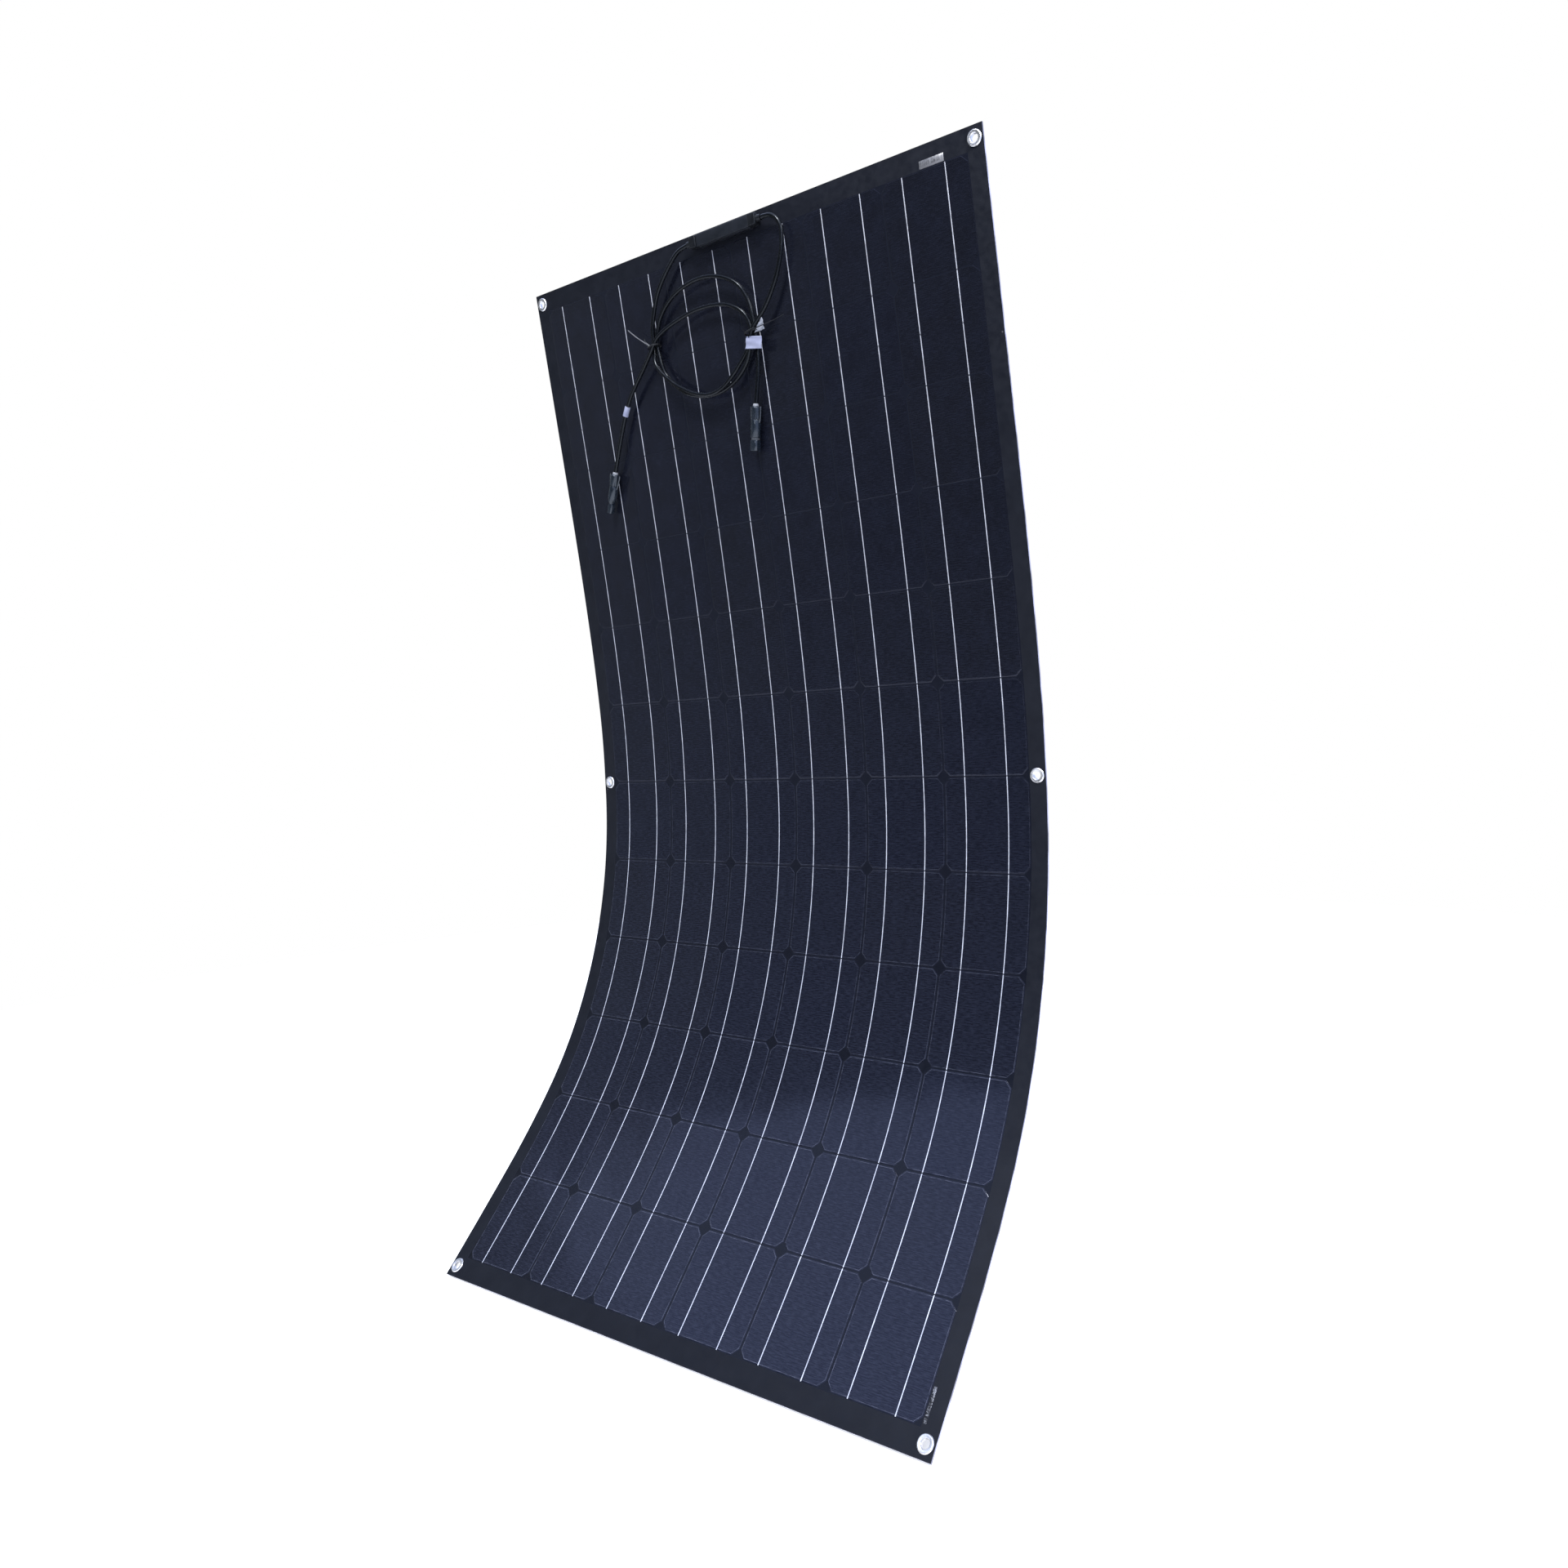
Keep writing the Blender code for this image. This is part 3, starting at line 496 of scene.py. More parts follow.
def outline_material():
    """The thin printed line round each cell, broken up by wear, with painted sheen that makes it
    brighter towards the foot and fainter towards the top.
    """
    material, tree, shader = new_material("printed_line", 0.16, gloss=0.30, tint=FILM_TINT)
    place, _, s = flat_place(tree)
    worn = ramp(tree, noise(tree, place, 130.0, 3.0), 0.38, 0.60, 0.20, 1.0)
    shown = times(tree, fade(tree, s), worn)
    link(mix(tree, shown, (0.0045, 0.0054, 0.0085), (0.085, 0.092, 0.125)), shader, "Base Color")
    return material


def plastic(name, dark, light, roughness, grain=0.00004, scale=900.0, gloss=0.2):
    """Moulded plastic, with a fine grain and a little wear in its colour."""
    material, tree, shader = new_material(name, gloss=gloss, tint=PLASTIC_TINT)
    place = object_place(tree)
    tone = ramp(tree, noise(tree, place, 60.0, 4.0), 0.3, 0.75)
    link(mix(tree, tone, dark, light), shader, "Base Color")
    link(wander(tree, place, 150.0, 3.0, *roughness), shader, "Roughness")
    bump(tree, shader, noise(tree, place, scale, 2.0), grain)
    return material


def steel_material():
    """Polished stainless steel with fine scratches."""
    material, tree, shader = new_material("polished_steel", metallic=1.0)
    place = object_place(tree)
    tone = wander(tree, place, 220.0, 4.0)
    link(mix(tree, tone, (0.52, 0.52, 0.53), (0.70, 0.70, 0.72)), shader, "Base Color")
    link(wander(tree, place, 500.0, 4.0, 0.26, 0.42), shader, "Roughness")
    bump(tree, shader, noise(tree, place, 700.0, 3.0), 0.00004)
    return material


def sticker_material():
    """A metallised sticker with plain irregular bars, which hold no code."""
    material, tree, shader = new_material("bar_sticker", 0.42, 0.25)
    place = object_place(tree)
    x, y, _ = split(tree, place)
    slot = whole(tree, x, BAR_SCALE)
    random = add_node(tree, "TexWhiteNoise", {"W": slot}, noise_dimensions="1D").outputs["Value"]
    bars = calc(tree, "GREATER_THAN", random, 1 - BAR_SHARE)
    bars = times(tree, bars, calc(tree, "GREATER_THAN", y, BAR_FOOT))
    worn = ramp(tree, noise(tree, place, 350.0, 3.0), 0.4, 0.6, 0.35, 1.0)
    color = mix(tree, times(tree, bars, worn), (0.135, 0.137, 0.148), (0.026, 0.026, 0.030))
    link(color, shader, "Base Color")
    bump(tree, shader, noise(tree, place, 300.0, 2.0), 0.0001)
    return material


def tick_material():
    """Faint pale ticks printed down a narrow strip, which hold no code."""
    material, tree, shader = new_material("tick_strip", gloss=0.22)
    place = object_place(tree)
    x, y, _ = split(tree, place)
    random = random_of(tree, whole(tree, x, TICK_SCALES[0]), whole(tree, y, TICK_SCALES[1]))
    ticks = calc(tree, "GREATER_THAN", random, 1 - TICK_SHARE)
    worn = ramp(tree, noise(tree, place, 120.0, 3.0), 0.4, 0.65, 0.1, 1.0)
    color = mix(tree, times(tree, ticks, worn), (0.0050, 0.0060, 0.0100), (0.22, 0.23, 0.26))
    link(color, shader, "Base Color")
    return material


CELL = cell_material()
MARGIN = margin_material()
BACK = back_material()
EDGE = edge_material()
RIBBON = ribbon_material()
OUTLINE = outline_material()
STEEL = steel_material()
BOX = plastic("box_plastic_grain", (0.004, 0.005, 0.0072), (0.0075, 0.0088, 0.012), (0.38, 0.55))
GLAND = plastic("gland_plastic", (0.003, 0.0034, 0.0044), (0.006, 0.0068, 0.0085), (0.30, 0.48))
JACKET = plastic("cable_jacket", (0.0008, 0.0011, 0.0017), (0.0018, 0.0023, 0.0034),
                 (0.20, 0.32), 0.00002, 1500.0)
SHELL = plastic("connector_shell", (0.0036, 0.006, 0.0095), (0.010, 0.014, 0.021),
                (0.18, 0.32), gloss=0.5)
# The latch arms are painted lighter than the shell's plastic: painted highlight
ARM = plastic("latch_arm_highlight", (0.016, 0.019, 0.023), (0.034, 0.038, 0.044), (0.16, 0.28), gloss=0.6)
# The pale band is painted highlight on the ring between barrel and nose
BAND = plastic("connector_band_highlight", (0.055, 0.060, 0.068), (0.085, 0.092, 0.102), (0.30, 0.45))
SEAL = plastic("seal_rubber", (0.16, 0.17, 0.19), (0.24, 0.25, 0.27), (0.45, 0.60))
# Painted shade inside the connectors' sockets
SOCKET = plastic("socket_shade", (0.003, 0.003, 0.004), (0.006, 0.006, 0.007), (0.5, 0.6))
WIRE = plastic("tie_coating", (0.004, 0.004, 0.005), (0.012, 0.012, 0.013), (0.30, 0.45))
# The pale tie end is painted highlight along the thin wire
WIRE_GLINT = plastic("tie_end_glint", (0.060, 0.062, 0.066), (0.160, 0.164, 0.172),
                   (0.26, 0.40), gloss=0.5)
LABEL = plastic("label_paper", (0.170, 0.182, 0.262), (0.255, 0.270, 0.360),
                (0.42, 0.60), 0.0001, 300.0)
CLEAR = plastic("milky_film", (0.16, 0.17, 0.20), (0.34, 0.35, 0.40),
                (0.22, 0.38), 0.0003, 150.0, 0.5)
BARS = sticker_material()
TICKS = tick_material()


# ---- mesh helpers

def new_object(name, data, *materials):
    piece = bpy.data.objects.new(name, data)
    bpy.context.scene.collection.objects.link(piece)
    for material in materials:
        data.materials.append(material)
    return piece


def new_mesh(name, work):
    """Turn a bmesh into a mesh, and free it."""
    mesh = bpy.data.meshes.new(name)
    work.to_mesh(mesh)
    work.free()
    return mesh


def smooth(mesh, angle=35):
    mesh.shade_smooth()
    mesh.set_sharp_from_angle(angle=math.radians(angle))


def store_flat(mesh, points):
    """Store the flat sheet's coordinates of each point, for the materials."""
    layer = mesh.attributes.new("flat", "FLOAT_VECTOR", "POINT")
    layer.data.foreach_set("vector", np.array(points, np.float32).ravel())


def steps_between(low, high):
    count = max(1, math.ceil((high - low) / ROW_STEP - TINY))
    return [low + (high - low) * i / count for i in range(count + 1)]


def loft_mesh(name, loops, paints=None):
    """Join closed loops of flat points by quads, cap both ends, and bend the result.

    paints gives the material number of the quad at (loop, side).
    """
    size = len(loops[0])
    flat = [point for loop in loops for point in loop]
    faces = []
    numbers = []
    for i in range(len(loops) - 1):
        for j in range(size):
            k = (j + 1) % size
            faces.append((i * size + j, i * size + k, (i + 1) * size + k, (i + 1) * size + j))
            numbers.append(paints(i, j) if paints else 0)
    last = (len(loops) - 1) * size
    faces.append(tuple(range(size - 1, -1, -1)))
    faces.append(tuple(range(last, last + size)))
    numbers += [0, 0]
    mesh = bpy.data.meshes.new(name)
    mesh.from_pydata([sheet_point(*point) for point in flat], [], faces)
    mesh.polygons.foreach_set("material_index", numbers)
    store_flat(mesh, flat)
    return mesh


def join_meshes(name, meshes):
    """Join meshes that all have the same layers into one."""
    work = bmesh.new()
    for mesh in meshes:
        work.from_mesh(mesh)
        bpy.data.meshes.remove(mesh)
    bmesh.ops.recalc_face_normals(work, faces=work.faces)
    return new_mesh(name, work)


def turned(name, profile, material, matrix, steps=48, shape=None):
    """Turn a closed outline of (radius, height) points about local Z.

    shape(angle, height) scales the radius, for ribs and flats.
    """
    work = bmesh.new()
    rings = []
    for radius, height in profile:
        if radius == 0:
            rings.append([work.verts.new((0, 0, height))] * steps)
            continue
        ring = []
        for i in range(steps):
            angle = math.tau * i / steps
            r = radius * (shape(angle, height) if shape else 1.0)
            ring.append(work.verts.new((r * math.cos(angle), r * math.sin(angle), height)))
        rings.append(ring)
    closed = profile[0][0] != 0 or profile[-1][0] != 0
    pairs = list(zip(rings, rings[1:] + rings[:1])) if closed else list(zip(rings, rings[1:]))
    for low, high in pairs:
        for i in range(steps):
            k = (i + 1) % steps
            corners = []
            for vert in (low[i], low[k], high[k], high[i]):
                if vert not in corners:
                    corners.append(vert)
            if len(corners) > 2:
                work.faces.new(corners)
    bmesh.ops.recalc_face_normals(work, faces=work.faces)
    mesh = new_mesh(name, work)
    smooth(mesh, 40)
    piece = new_object(name, mesh, material)
    piece.matrix_world = matrix
    return piece


def arc(centre, radius, start, end, count):
    """Give points on an arc in a profile, with angles in degrees from the outward direction."""
    angles = [math.radians(start + (end - start) * i / count) for i in range(count + 1)]
    return [(centre[0] + radius * math.cos(a), centre[1] + radius * math.sin(a)) for a in angles]


def rounded_block(name, size, material, matrix, radius, segments=3, taper=1.0):
    """Make a block with rounded edges, whose far end along Z may be narrower."""
    work = bmesh.new()
    bmesh.ops.create_cube(work, size=1.0)
    bmesh.ops.scale(work, vec=size, verts=work.verts)
    for vert in work.verts:
        if vert.co.z > 0:
            vert.co.x *= taper
            vert.co.y *= taper
    edges = work.edges[:]
    bmesh.ops.bevel(work, geom=edges, offset=radius, segments=segments, profile=0.5, affect="EDGES")
    mesh = new_mesh(name, work)
    smooth(mesh, 50)
    piece = new_object(name, mesh, material)
    piece.matrix_world = matrix
    return piece


def wire(name, points, radius, material, resolution=3):
    """Make a round wire through points in space."""
    curve = bpy.data.curves.new(name, "CURVE")
    curve.dimensions = "3D"
    curve.bevel_depth = radius
    curve.bevel_resolution = resolution
    curve.use_fill_caps = True
    spline = curve.splines.new("POLY")
    spline.points.add(len(points) - 1)
    for place, point in zip(spline.points, points):
        place.co = (*point, 1.0)
    spline.use_smooth = True
    return new_object(name, curve, material)


def curve_between(p0, p1, p2, p3, t):
    """Read a point between p1 and p2 on the Catmull-Rom curve through four points."""
    pull = 2 * p1 + (p2 - p0) * t
    pull += (2 * p0 - 5 * p1 + 4 * p2 - p3) * t ** 2
    pull += (3 * p1 - p0 - 3 * p2 + p3) * t ** 3
    return pull / 2


def smooth_line(knots, steps):
    """Give points along the smooth curve through the knots."""
    knots = [2 * knots[0] - knots[1]] + list(knots) + [2 * knots[-1] - knots[-2]]
    points = []
    for group in zip(knots, knots[1:], knots[2:], knots[3:]):
        points += [curve_between(*group, step / steps) for step in range(steps)]
    return points + [knots[-2]]


def dress(piece, body, slot, *replaced):
    """Attach a piece to the body that it rides on, and hide the frame nodes that it stands for. Its
    slot is not used.
    """
    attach(piece, body)
    if replaced:
        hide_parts(*replaced)
    return piece


def dress_top(piece, slot, *replaced):
    """Dress a piece that rides on the top row, as the box, the leads and their fittings do."""
    return dress(piece, "row_01", slot, *replaced)


# ---- the camera and the cords

def add_camera():
    camera = bpy.data.cameras.new("camera")
    camera.lens = CAMERA_LENS
    camera.sensor_width = CAMERA_SENSOR
    camera.shift_x, camera.shift_y = CAMERA_SHIFT
    holder = new_object("camera", camera)
    place = Matrix.Translation(CAMERA_PLACE)
    for degrees, axis in CAMERA_TURNS:
        place = place @ Matrix.Rotation(math.radians(degrees), 4, axis)
    holder.matrix_world = place
    bpy.context.scene.camera = holder


def add_cable(hand, route):
    knots = [sheet_point(x, s, FRONT_W + height) for x, s, height in route]
    points = smooth_line(knots, ROUTE_STEPS)
    cable = wire(f"lead_{hand}", points, CABLE_DIAMETER / 2, JACKET, resolution=5)
    dress_top(cable, "cable", f"cable_{hand}")
    return cable, points


add_camera()
lead_left, left_line = add_cable("left", LEFT_ROUTE)
lead_right, right_line = add_cable("right", RIGHT_ROUTE)


# ---- connectors

def nut_shape(angle, height):
    """Deepen the flutes along the nut, which fade out towards the cable."""
    share = (height - NUT_PLAIN_LENGTH) / NUT_PLAIN_LENGTH
    depth = NUT_FLUTE_DEPTH * min(1.0, max(0.0, share))
    return 1.0 - depth * max(0.0, math.cos(NUT_FLUTES * angle)) ** 2


def squared(angle, height=0.0):
    """Scale a circle towards a square with round corners."""
    reach = 1.0 / max(abs(math.cos(angle)), abs(math.sin(angle)))
    return min(reach, 1.0 / NOSE_CORNER)


def barrel_profile(hand):
    if hand == "left":
        return [(0.0, 0.0), (0.0060, 0.0), (0.0068, 0.0030), (0.0070, 0.0200),
                (0.0058, BARREL_END), (0.0044, NOSE_START), (0.0, NOSE_START)]
    return [(0.0, 0.0), (0.0066, 0.0), (0.0070, 0.0010), (0.0070, BARREL_END - 0.001),
            (0.0064, BARREL_END), (0.0050, BARREL_END), (0.0050, NOSE_START), (0.0, NOSE_START)]


def add_connector(hand, route_end, direction):
    """Build one connector's fluted nut, seal, barrel, squared nose, band and side arms."""
    nut_matrix = along(route_end, direction, TOUCH_GAP)
    mouth = NUT_LENGTH - 0.0003
    nut = [(0.0031, 0.0012), (0.0040, 0.0)] + arc((0.0039, 0.0026), 0.0025, -80, 0, 6)
    nut += [(0.0064, 0.0150), (0.0061, mouth), (0.0031, mouth)]
    nut_piece = turned(f"nut_{hand}", nut, SHELL, nut_matrix, 72, nut_shape)
    pieces = [dress_top(nut_piece, "box_plastic", f"connector_nut_{hand}")]
    seal = [(0.0030, -0.0034), (0.0036, -0.0032), (0.0041, -0.0006), (0.0042, 0.0014), (0.0030, 0.0014)]
    pieces.append(dress_top(turned(f"seal_{hand}", seal, SEAL, nut_matrix, 36), "box_plastic"))

    matrix = along(route_end, direction, 2 * TOUCH_GAP + NUT_LENGTH)
    barrel = turned(f"barrel_{hand}", barrel_profile(hand), SHELL, matrix)
    pieces.append(dress_top(barrel, "box_plastic"))
    pieces.append(add_nose(hand, matrix))
    outer = BAND_RADIUS[hand]
    inner = outer - 0.0012
    band = [(inner, BARREL_END + 0.0006), (outer, BARREL_END + 0.0008),
            (outer, NOSE_START - 0.0006), (inner, NOSE_START - 0.0004)]
    pieces.append(dress_top(turned(f"band_{hand}", band, BAND, matrix, 64), "box_plastic"))
    return pieces + [add_arm(hand, side, nut_matrix) for side in (-1, 1)]


def add_nose(hand, matrix):
    """Build the squared mating end, open on a socket whose inside is painted with shade."""
    outer, inner = NOSE_RADII[hand]
    end = BODY_LENGTH - 0.0003
    floor = end - SOCKET_DEPTH
    rings = [(0.0, NOSE_START), (outer * 0.93, NOSE_START), (outer, NOSE_START + 0.0010),
             (outer, end - 0.0006), (outer * 0.95, end), (inner, end), (inner * 0.96, floor),
             (0.0, floor)]
    nose = turned(f"nose_{hand}", rings, SHELL, matrix, 64, squared)
    nose.data.materials.append(SOCKET)
    reach = inner * 0.99 * squared(math.pi / 4)
    for polygon in nose.data.polygons:
        x, y, z = polygon.center
        if math.hypot(x, y) < reach and floor - 0.0005 < z < end - 0.0008:
            polygon.material_index = 1
    return dress_top(nose, "box_plastic", f"connector_body_{hand}")


def add_arm(hand, side, matrix):
    """Build one springy side arm that reaches from the nut along the barrel."""
    flare = ARM_FLARE[hand]
    outline = [(0.0080 + flare, 0.0006), (0.0082 + flare, 0.0030), (0.0082 + flare * 0.6, 0.0090),
               (0.0080 + flare * 0.2, 0.0150), (0.0074, 0.0195), (0.0064, 0.0222)]
    knots = [Vector((0.0, side * out, height)) for out, height in outline]
    points = [matrix @ point for point in smooth_line(knots, 5)]
    name = "a" if side < 0 else "b"
    return dress_top(wire(f"latch_{hand}_{name}", points, ARM_RADIUS, ARM), "box_plastic")


left_connector = add_connector("left", LEFT_ROUTE[-1], LEFT_CONNECTOR_DIRECTION)
right_connector = add_connector("right", RIGHT_ROUTE[-1], RIGHT_CONNECTOR_DIRECTION)


# ---- ties, tag and sleeve

def add_tie(hand, place):
    """Wrap a coated wire twice round the bundled leads, twist it and leave its ends."""
    centre = along(place, TIE_DIRECTION)
    wraps = []
    steps = 28 * TIE_TURNS
    for i in range(steps + 1):
        angle = math.tau * TIE_TURNS * i / steps
        x, y = TIE_RADIUS * math.cos(angle), TIE_RADIUS * math.sin(angle)
        wraps.append(centre @ Vector((x, y, (i / steps - 0.5) * TIE_RISE)))
    loop = wire(f"tie_wrap_{hand}", wraps, 0.00060, WIRE)
    dress_top(loop, "tie", f"tie_{hand}")

    root = centre @ Vector((-TIE_ROOT, 0.0, 0.0))
    x, s, height = TIE_TAILS[hand]
    tip = sheet_point(x, s, FRONT_W + height)
    ahead = (tip - root).normalized()
    aside = ahead.cross(Vector((0.0, -1.0, 0.0))).normalized()
    above = aside.cross(ahead)
    strands = []
    for strand in range(2):
        line = []
        for i in range(25):
            t = i / 24
            angle = math.tau * TIE_TWIST_TURNS * t + math.pi * strand
            swirl = TIE_TWIST_RADIUS * (aside * math.cos(angle) + above * math.sin(angle))
            line.append(root + ahead * TIE_TWIST_LENGTH * t + swirl)
        strands.append(line)
    straight = (tip - root).length - TIE_TWIST_LENGTH
    sag = Vector((0.0, 0.0, -0.0012))
    for i in range(1, 13):
        t = i / 12
        strands[0].append(root + ahead * (TIE_TWIST_LENGTH + straight * t) + 4 * t * (1 - t) * sag)
    short = strands[1][-1]
    strands[1] += [short + ahead * 0.003 + aside * 0.001, short + ahead * 0.006 + aside * 0.003]
    pieces = [loop]
    for strand, line in zip(("long", "short"), strands):
        # The left tie's long end is painted pale: painted highlight along it
        worn = (hand, strand) == ("left", "long")
        radius, material = (0.00075, WIRE_GLINT) if worn else (0.00055, WIRE)
        end = wire(f"tie_end_{hand}_{strand}", line, radius, material)
        pieces.append(dress_top(end, "tie"))
    return pieces


def thin_sheet(name, work, material):
    """Turn a bmesh of one surface into a sheet as thick as paper."""
    mesh = new_mesh(name, work)
    smooth(mesh, 60)
    sheet = new_object(name, mesh, material)
    sheet.modifiers.new("thickness", "SOLIDIFY").thickness = PAPER_THICKNESS
    return sheet


def add_tag_film():
    """A crumpled, milky three-cornered end of clear film that stands out above the tag."""
    corners = [Vector(corner) for corner in TAG_FILM_CORNERS]
    work = bmesh.new()
    steps = 14
    grid = {}
    for i in range(steps + 1):
        for j in range(steps + 1 - i):
            u = i / steps
            v = j / steps
            x, s, height = corners[0] * (1 - u - v) + corners[1] * u + corners[2] * v
            height += 0.0009 * math.sin(9 * u + 4 * v) + 0.0006 * math.cos(14 * v - 5 * u)
            grid[i, j] = work.verts.new(sheet_point(x, s, FRONT_W + height))
    for i in range(steps):
        for j in range(steps - i):
            work.faces.new((grid[i, j], grid[i + 1, j], grid[i, j + 1]))
            if (i + 1, j + 1) in grid:
                work.faces.new((grid[i + 1, j], grid[i + 1, j + 1], grid[i, j + 1]))
    return dress_top(thin_sheet("tag_film", work, CLEAR), "label")


def add_sleeve():
    """A white printed-on sleeve, with the small step of its overlap."""
    matrix = along(SLEEVE_AT, SLEEVE_DIRECTION)
    half = SLEEVE_LENGTH / 2
    inner = CABLE_DIAMETER / 2 + 0.0002
    belly = SLEEVE_RADIUS + 0.0001
    profile = [(inner, -half), (SLEEVE_RADIUS, -half), (belly, -half + 0.0006),
               (belly, half - 0.0006), (SLEEVE_RADIUS, half), (inner, half)]
    sleeve = turned("white_sleeve", profile, LABEL, matrix, 48,
                    lambda angle, height: 1.0 + (0.03 if 0.6 < angle < 1.8 else 0.0))
    return dress_top(sleeve, "label", "cable_sleeve")


def add_tag():
    """A white tag bent over the bundled leads, with its corners curling."""
    x, s, height = TAG_AT
    length, width = TAG_SIZE
    work = bmesh.new()
    columns = 24
    rows = 12
    grid = []
    for i in range(columns + 1):
        u = i / columns - 0.5
        line = []
        for j in range(rows + 1):
            v = j / rows - 0.5
            fall = -TAG_FALLS[u > 0] * (2 * abs(u)) ** 2.4
            curl = 0.0010 * math.sin(5.1 * u + 1.3) * v + 0.0005 * math.cos(9 * v + 3 * u)
            line.append(work.verts.new((u * length, v * width, fall + curl)))
        grid.append(line)
    for i in range(columns):
        for j in range(rows):
            work.faces.new((grid[i][j], grid[i + 1][j], grid[i + 1][j + 1], grid[i][j + 1]))
    tag = thin_sheet("white_tag", work, LABEL)
    tag.matrix_world = sheet_matrix(x, s, FRONT_W + height) @ Matrix.Rotation(TAG_TURN, 4, "Z")
    return dress_top(tag, "label", "cable_tag")


left_tie = add_tie("left", LEFT_TIE_AT)
right_tie = add_tie("right", RIGHT_TIE_AT)
sleeve = add_sleeve()
tag = add_tag()
tag_film = add_tag_film()


# ---- the laminate

def outline_mesh(name, loops, low, high, rows):
    """Extrude flat outlines with holes between two heights, cut them at the rows and bend them.

    Front faces get material 0, back faces 1 and cut edges 2.
    """
    curve = bpy.data.curves.new(name, "CURVE")
    curve.dimensions = "2D"
    curve.fill_mode = "BOTH"
    curve.extrude = (high - low) / 2
    for loop in loops:
        spline = curve.splines.new("POLY")
        spline.points.add(len(loop) - 1)
        for point, (x, s) in zip(spline.points, loop):
            point.co = (x, s, 0.0, 1.0)
        spline.use_cyclic_u = True
    flat = new_object(name + "_flat", curve)
    bpy.context.view_layer.update()
    depsgraph = bpy.context.evaluated_depsgraph_get()
    mesh = bpy.data.meshes.new_from_object(flat.evaluated_get(depsgraph))
    bpy.data.objects.remove(flat, do_unlink=True)
    work = bmesh.new()
    work.from_mesh(mesh)
    bmesh.ops.remove_doubles(work, verts=work.verts, dist=0.00001)
    for s in rows[1:-1]:
        everything = work.verts[:] + work.edges[:] + work.faces[:]
        bmesh.ops.bisect_plane(work, geom=everything, plane_co=(0, s, 0), plane_no=(0, 1, 0), dist=TINY)
    bmesh.ops.recalc_face_normals(work, faces=work.faces)
    for face in work.faces:
        face.material_index = 0 if face.normal.z > 0.5 else 1 if face.normal.z < -0.5 else 2
    bmesh.ops.triangulate(work, faces=work.faces)
    flat_points = [(v.co.x, v.co.y, v.co.z + (low + high) / 2) for v in work.verts]
    for vert, point in zip(work.verts, flat_points):
        vert.co = sheet_point(*point)
    work.to_mesh(mesh)
    work.free()
    store_flat(mesh, flat_points)
    smooth(mesh)
    return mesh


def hole_loop(x, s):
    angles = [math.tau * i / HOLE_STEPS for i in range(HOLE_STEPS)]
    return [(x + SHEET_HOLE * math.cos(a), s + SHEET_HOLE * math.sin(a)) for a in angles]


def cell_half_width(s, inset):
    """Give a cell's half width at the height s from its centre, inside the given inset."""
    half = CELL_SIZE / 2
    return min(half - inset, 2 * half - CELL_CHAMFER - inset * math.sqrt(2) - abs(s))


def cell_rows(low, high):
    """Give the heights, from a cell's centre, where its mesh is cut between low and high."""
    half = CELL_SIZE / 2
    cuts = set()
    for inset in CELL_INSETS:
        cuts.add(half - inset)
        cuts.add(half - CELL_CHAMFER - inset * (math.sqrt(2) - 1))
    inner = half - CELL_CHAMFER - 0.002
    cuts |= set(steps_between(0.0, inner))
    both = {round(c, 7) for c in cuts} | {round(-c, 7) for c in cuts}
    return sorted(c for c in both if low - TINY <= c <= high + TINY)


def cell_mesh(name, x, s, low, high):
    """Build the part of a cell between two heights from its centre, as a thin raised plate."""
    half = CELL_SIZE / 2
    rows = cell_rows(low, high)

    def section(height, top, shift=0.0):
        """Give a cut across the cell, moved up the sheet by the shift."""
        widths = [cell_half_width(height, inset) for inset in CELL_INSETS]
        outer = widths[0] + CELL_SKIRT
        right = [(x + outer, CELL_FOOT_W)] + [(x + width, top) for width in widths]
        left = [(2 * x - place, level) for place, level in reversed(right)]
        ring = [(x - outer, CELL_UNDER_W), (x + outer, CELL_UNDER_W)] + right + left
        return [(place, s + height + shift, level) for place, level in ring]

    loops = [section(height, CELL_TOP_W) for height in rows]
    first = int(low < -half + TINY)
    if first:
        loops.insert(0, section(rows[0], CELL_FOOT_W, -CELL_SKIRT))
    if high > half - TINY:
        loops.append(section(rows[-1], CELL_FOOT_W, CELL_SKIRT))

    def paint(i, j):
        """Give the printed line's material at the outline, and the cell's elsewhere.

        Sides 4 and 6 of a cut lie between the line's two edges, and side 5 joins them.
        """
        i -= first
        if not 0 <= i < len(rows) - 1:
            return 0
        middle = abs(rows[i] + rows[i + 1]) / 2
        if middle > half - CELL_INSETS[1]:
            return 0
        if middle > half - CELL_INSETS[2]:
            return int(j in (4, 5, 6))
        return int(j in (4, 6))

    return loft_mesh(name, loops, paint)


def ribbon_mesh(name, x, low, high):
    """Build one ribbon between two heights, dipping into the film at its ends."""
    rows = [(low, CELL_FOOT_W), (low + RIBBON_DIP, RIBBON_TOP_W)]
    rows += [(s, RIBBON_TOP_W) for s in steps_between(low + RIBBON_DIP, high - RIBBON_DIP)[1:]]
    rows.append((high, CELL_FOOT_W))
    loops = []
    for s, crown in rows:
        edge = min(RIBBON_TOP_W - RIBBON_SHOULDER, crown)
        right = [(RIBBON_HALF, RIBBON_UNDER_W), (RIBBON_HALF, edge), (RIBBON_HALF * 0.8, crown)]
        left = [(-place, level) for place, level in reversed(right)]
        loops.append([(x + place, s, level) for place, level in left[-1:] + right + left[:-1]])
    return loft_mesh(name, loops)


def strip_parts(low, high):
    """Give each row's stretch of cells inside a strip, as its centre and limits from it."""
    half = CELL_SIZE / 2
    for row in range(1, ROWS + 1):
        centre = row_centre(row)
        start = max(low - centre, -half)
        end = min(high - centre, half)
        if end - start > 0.001:
            yield centre, start, end


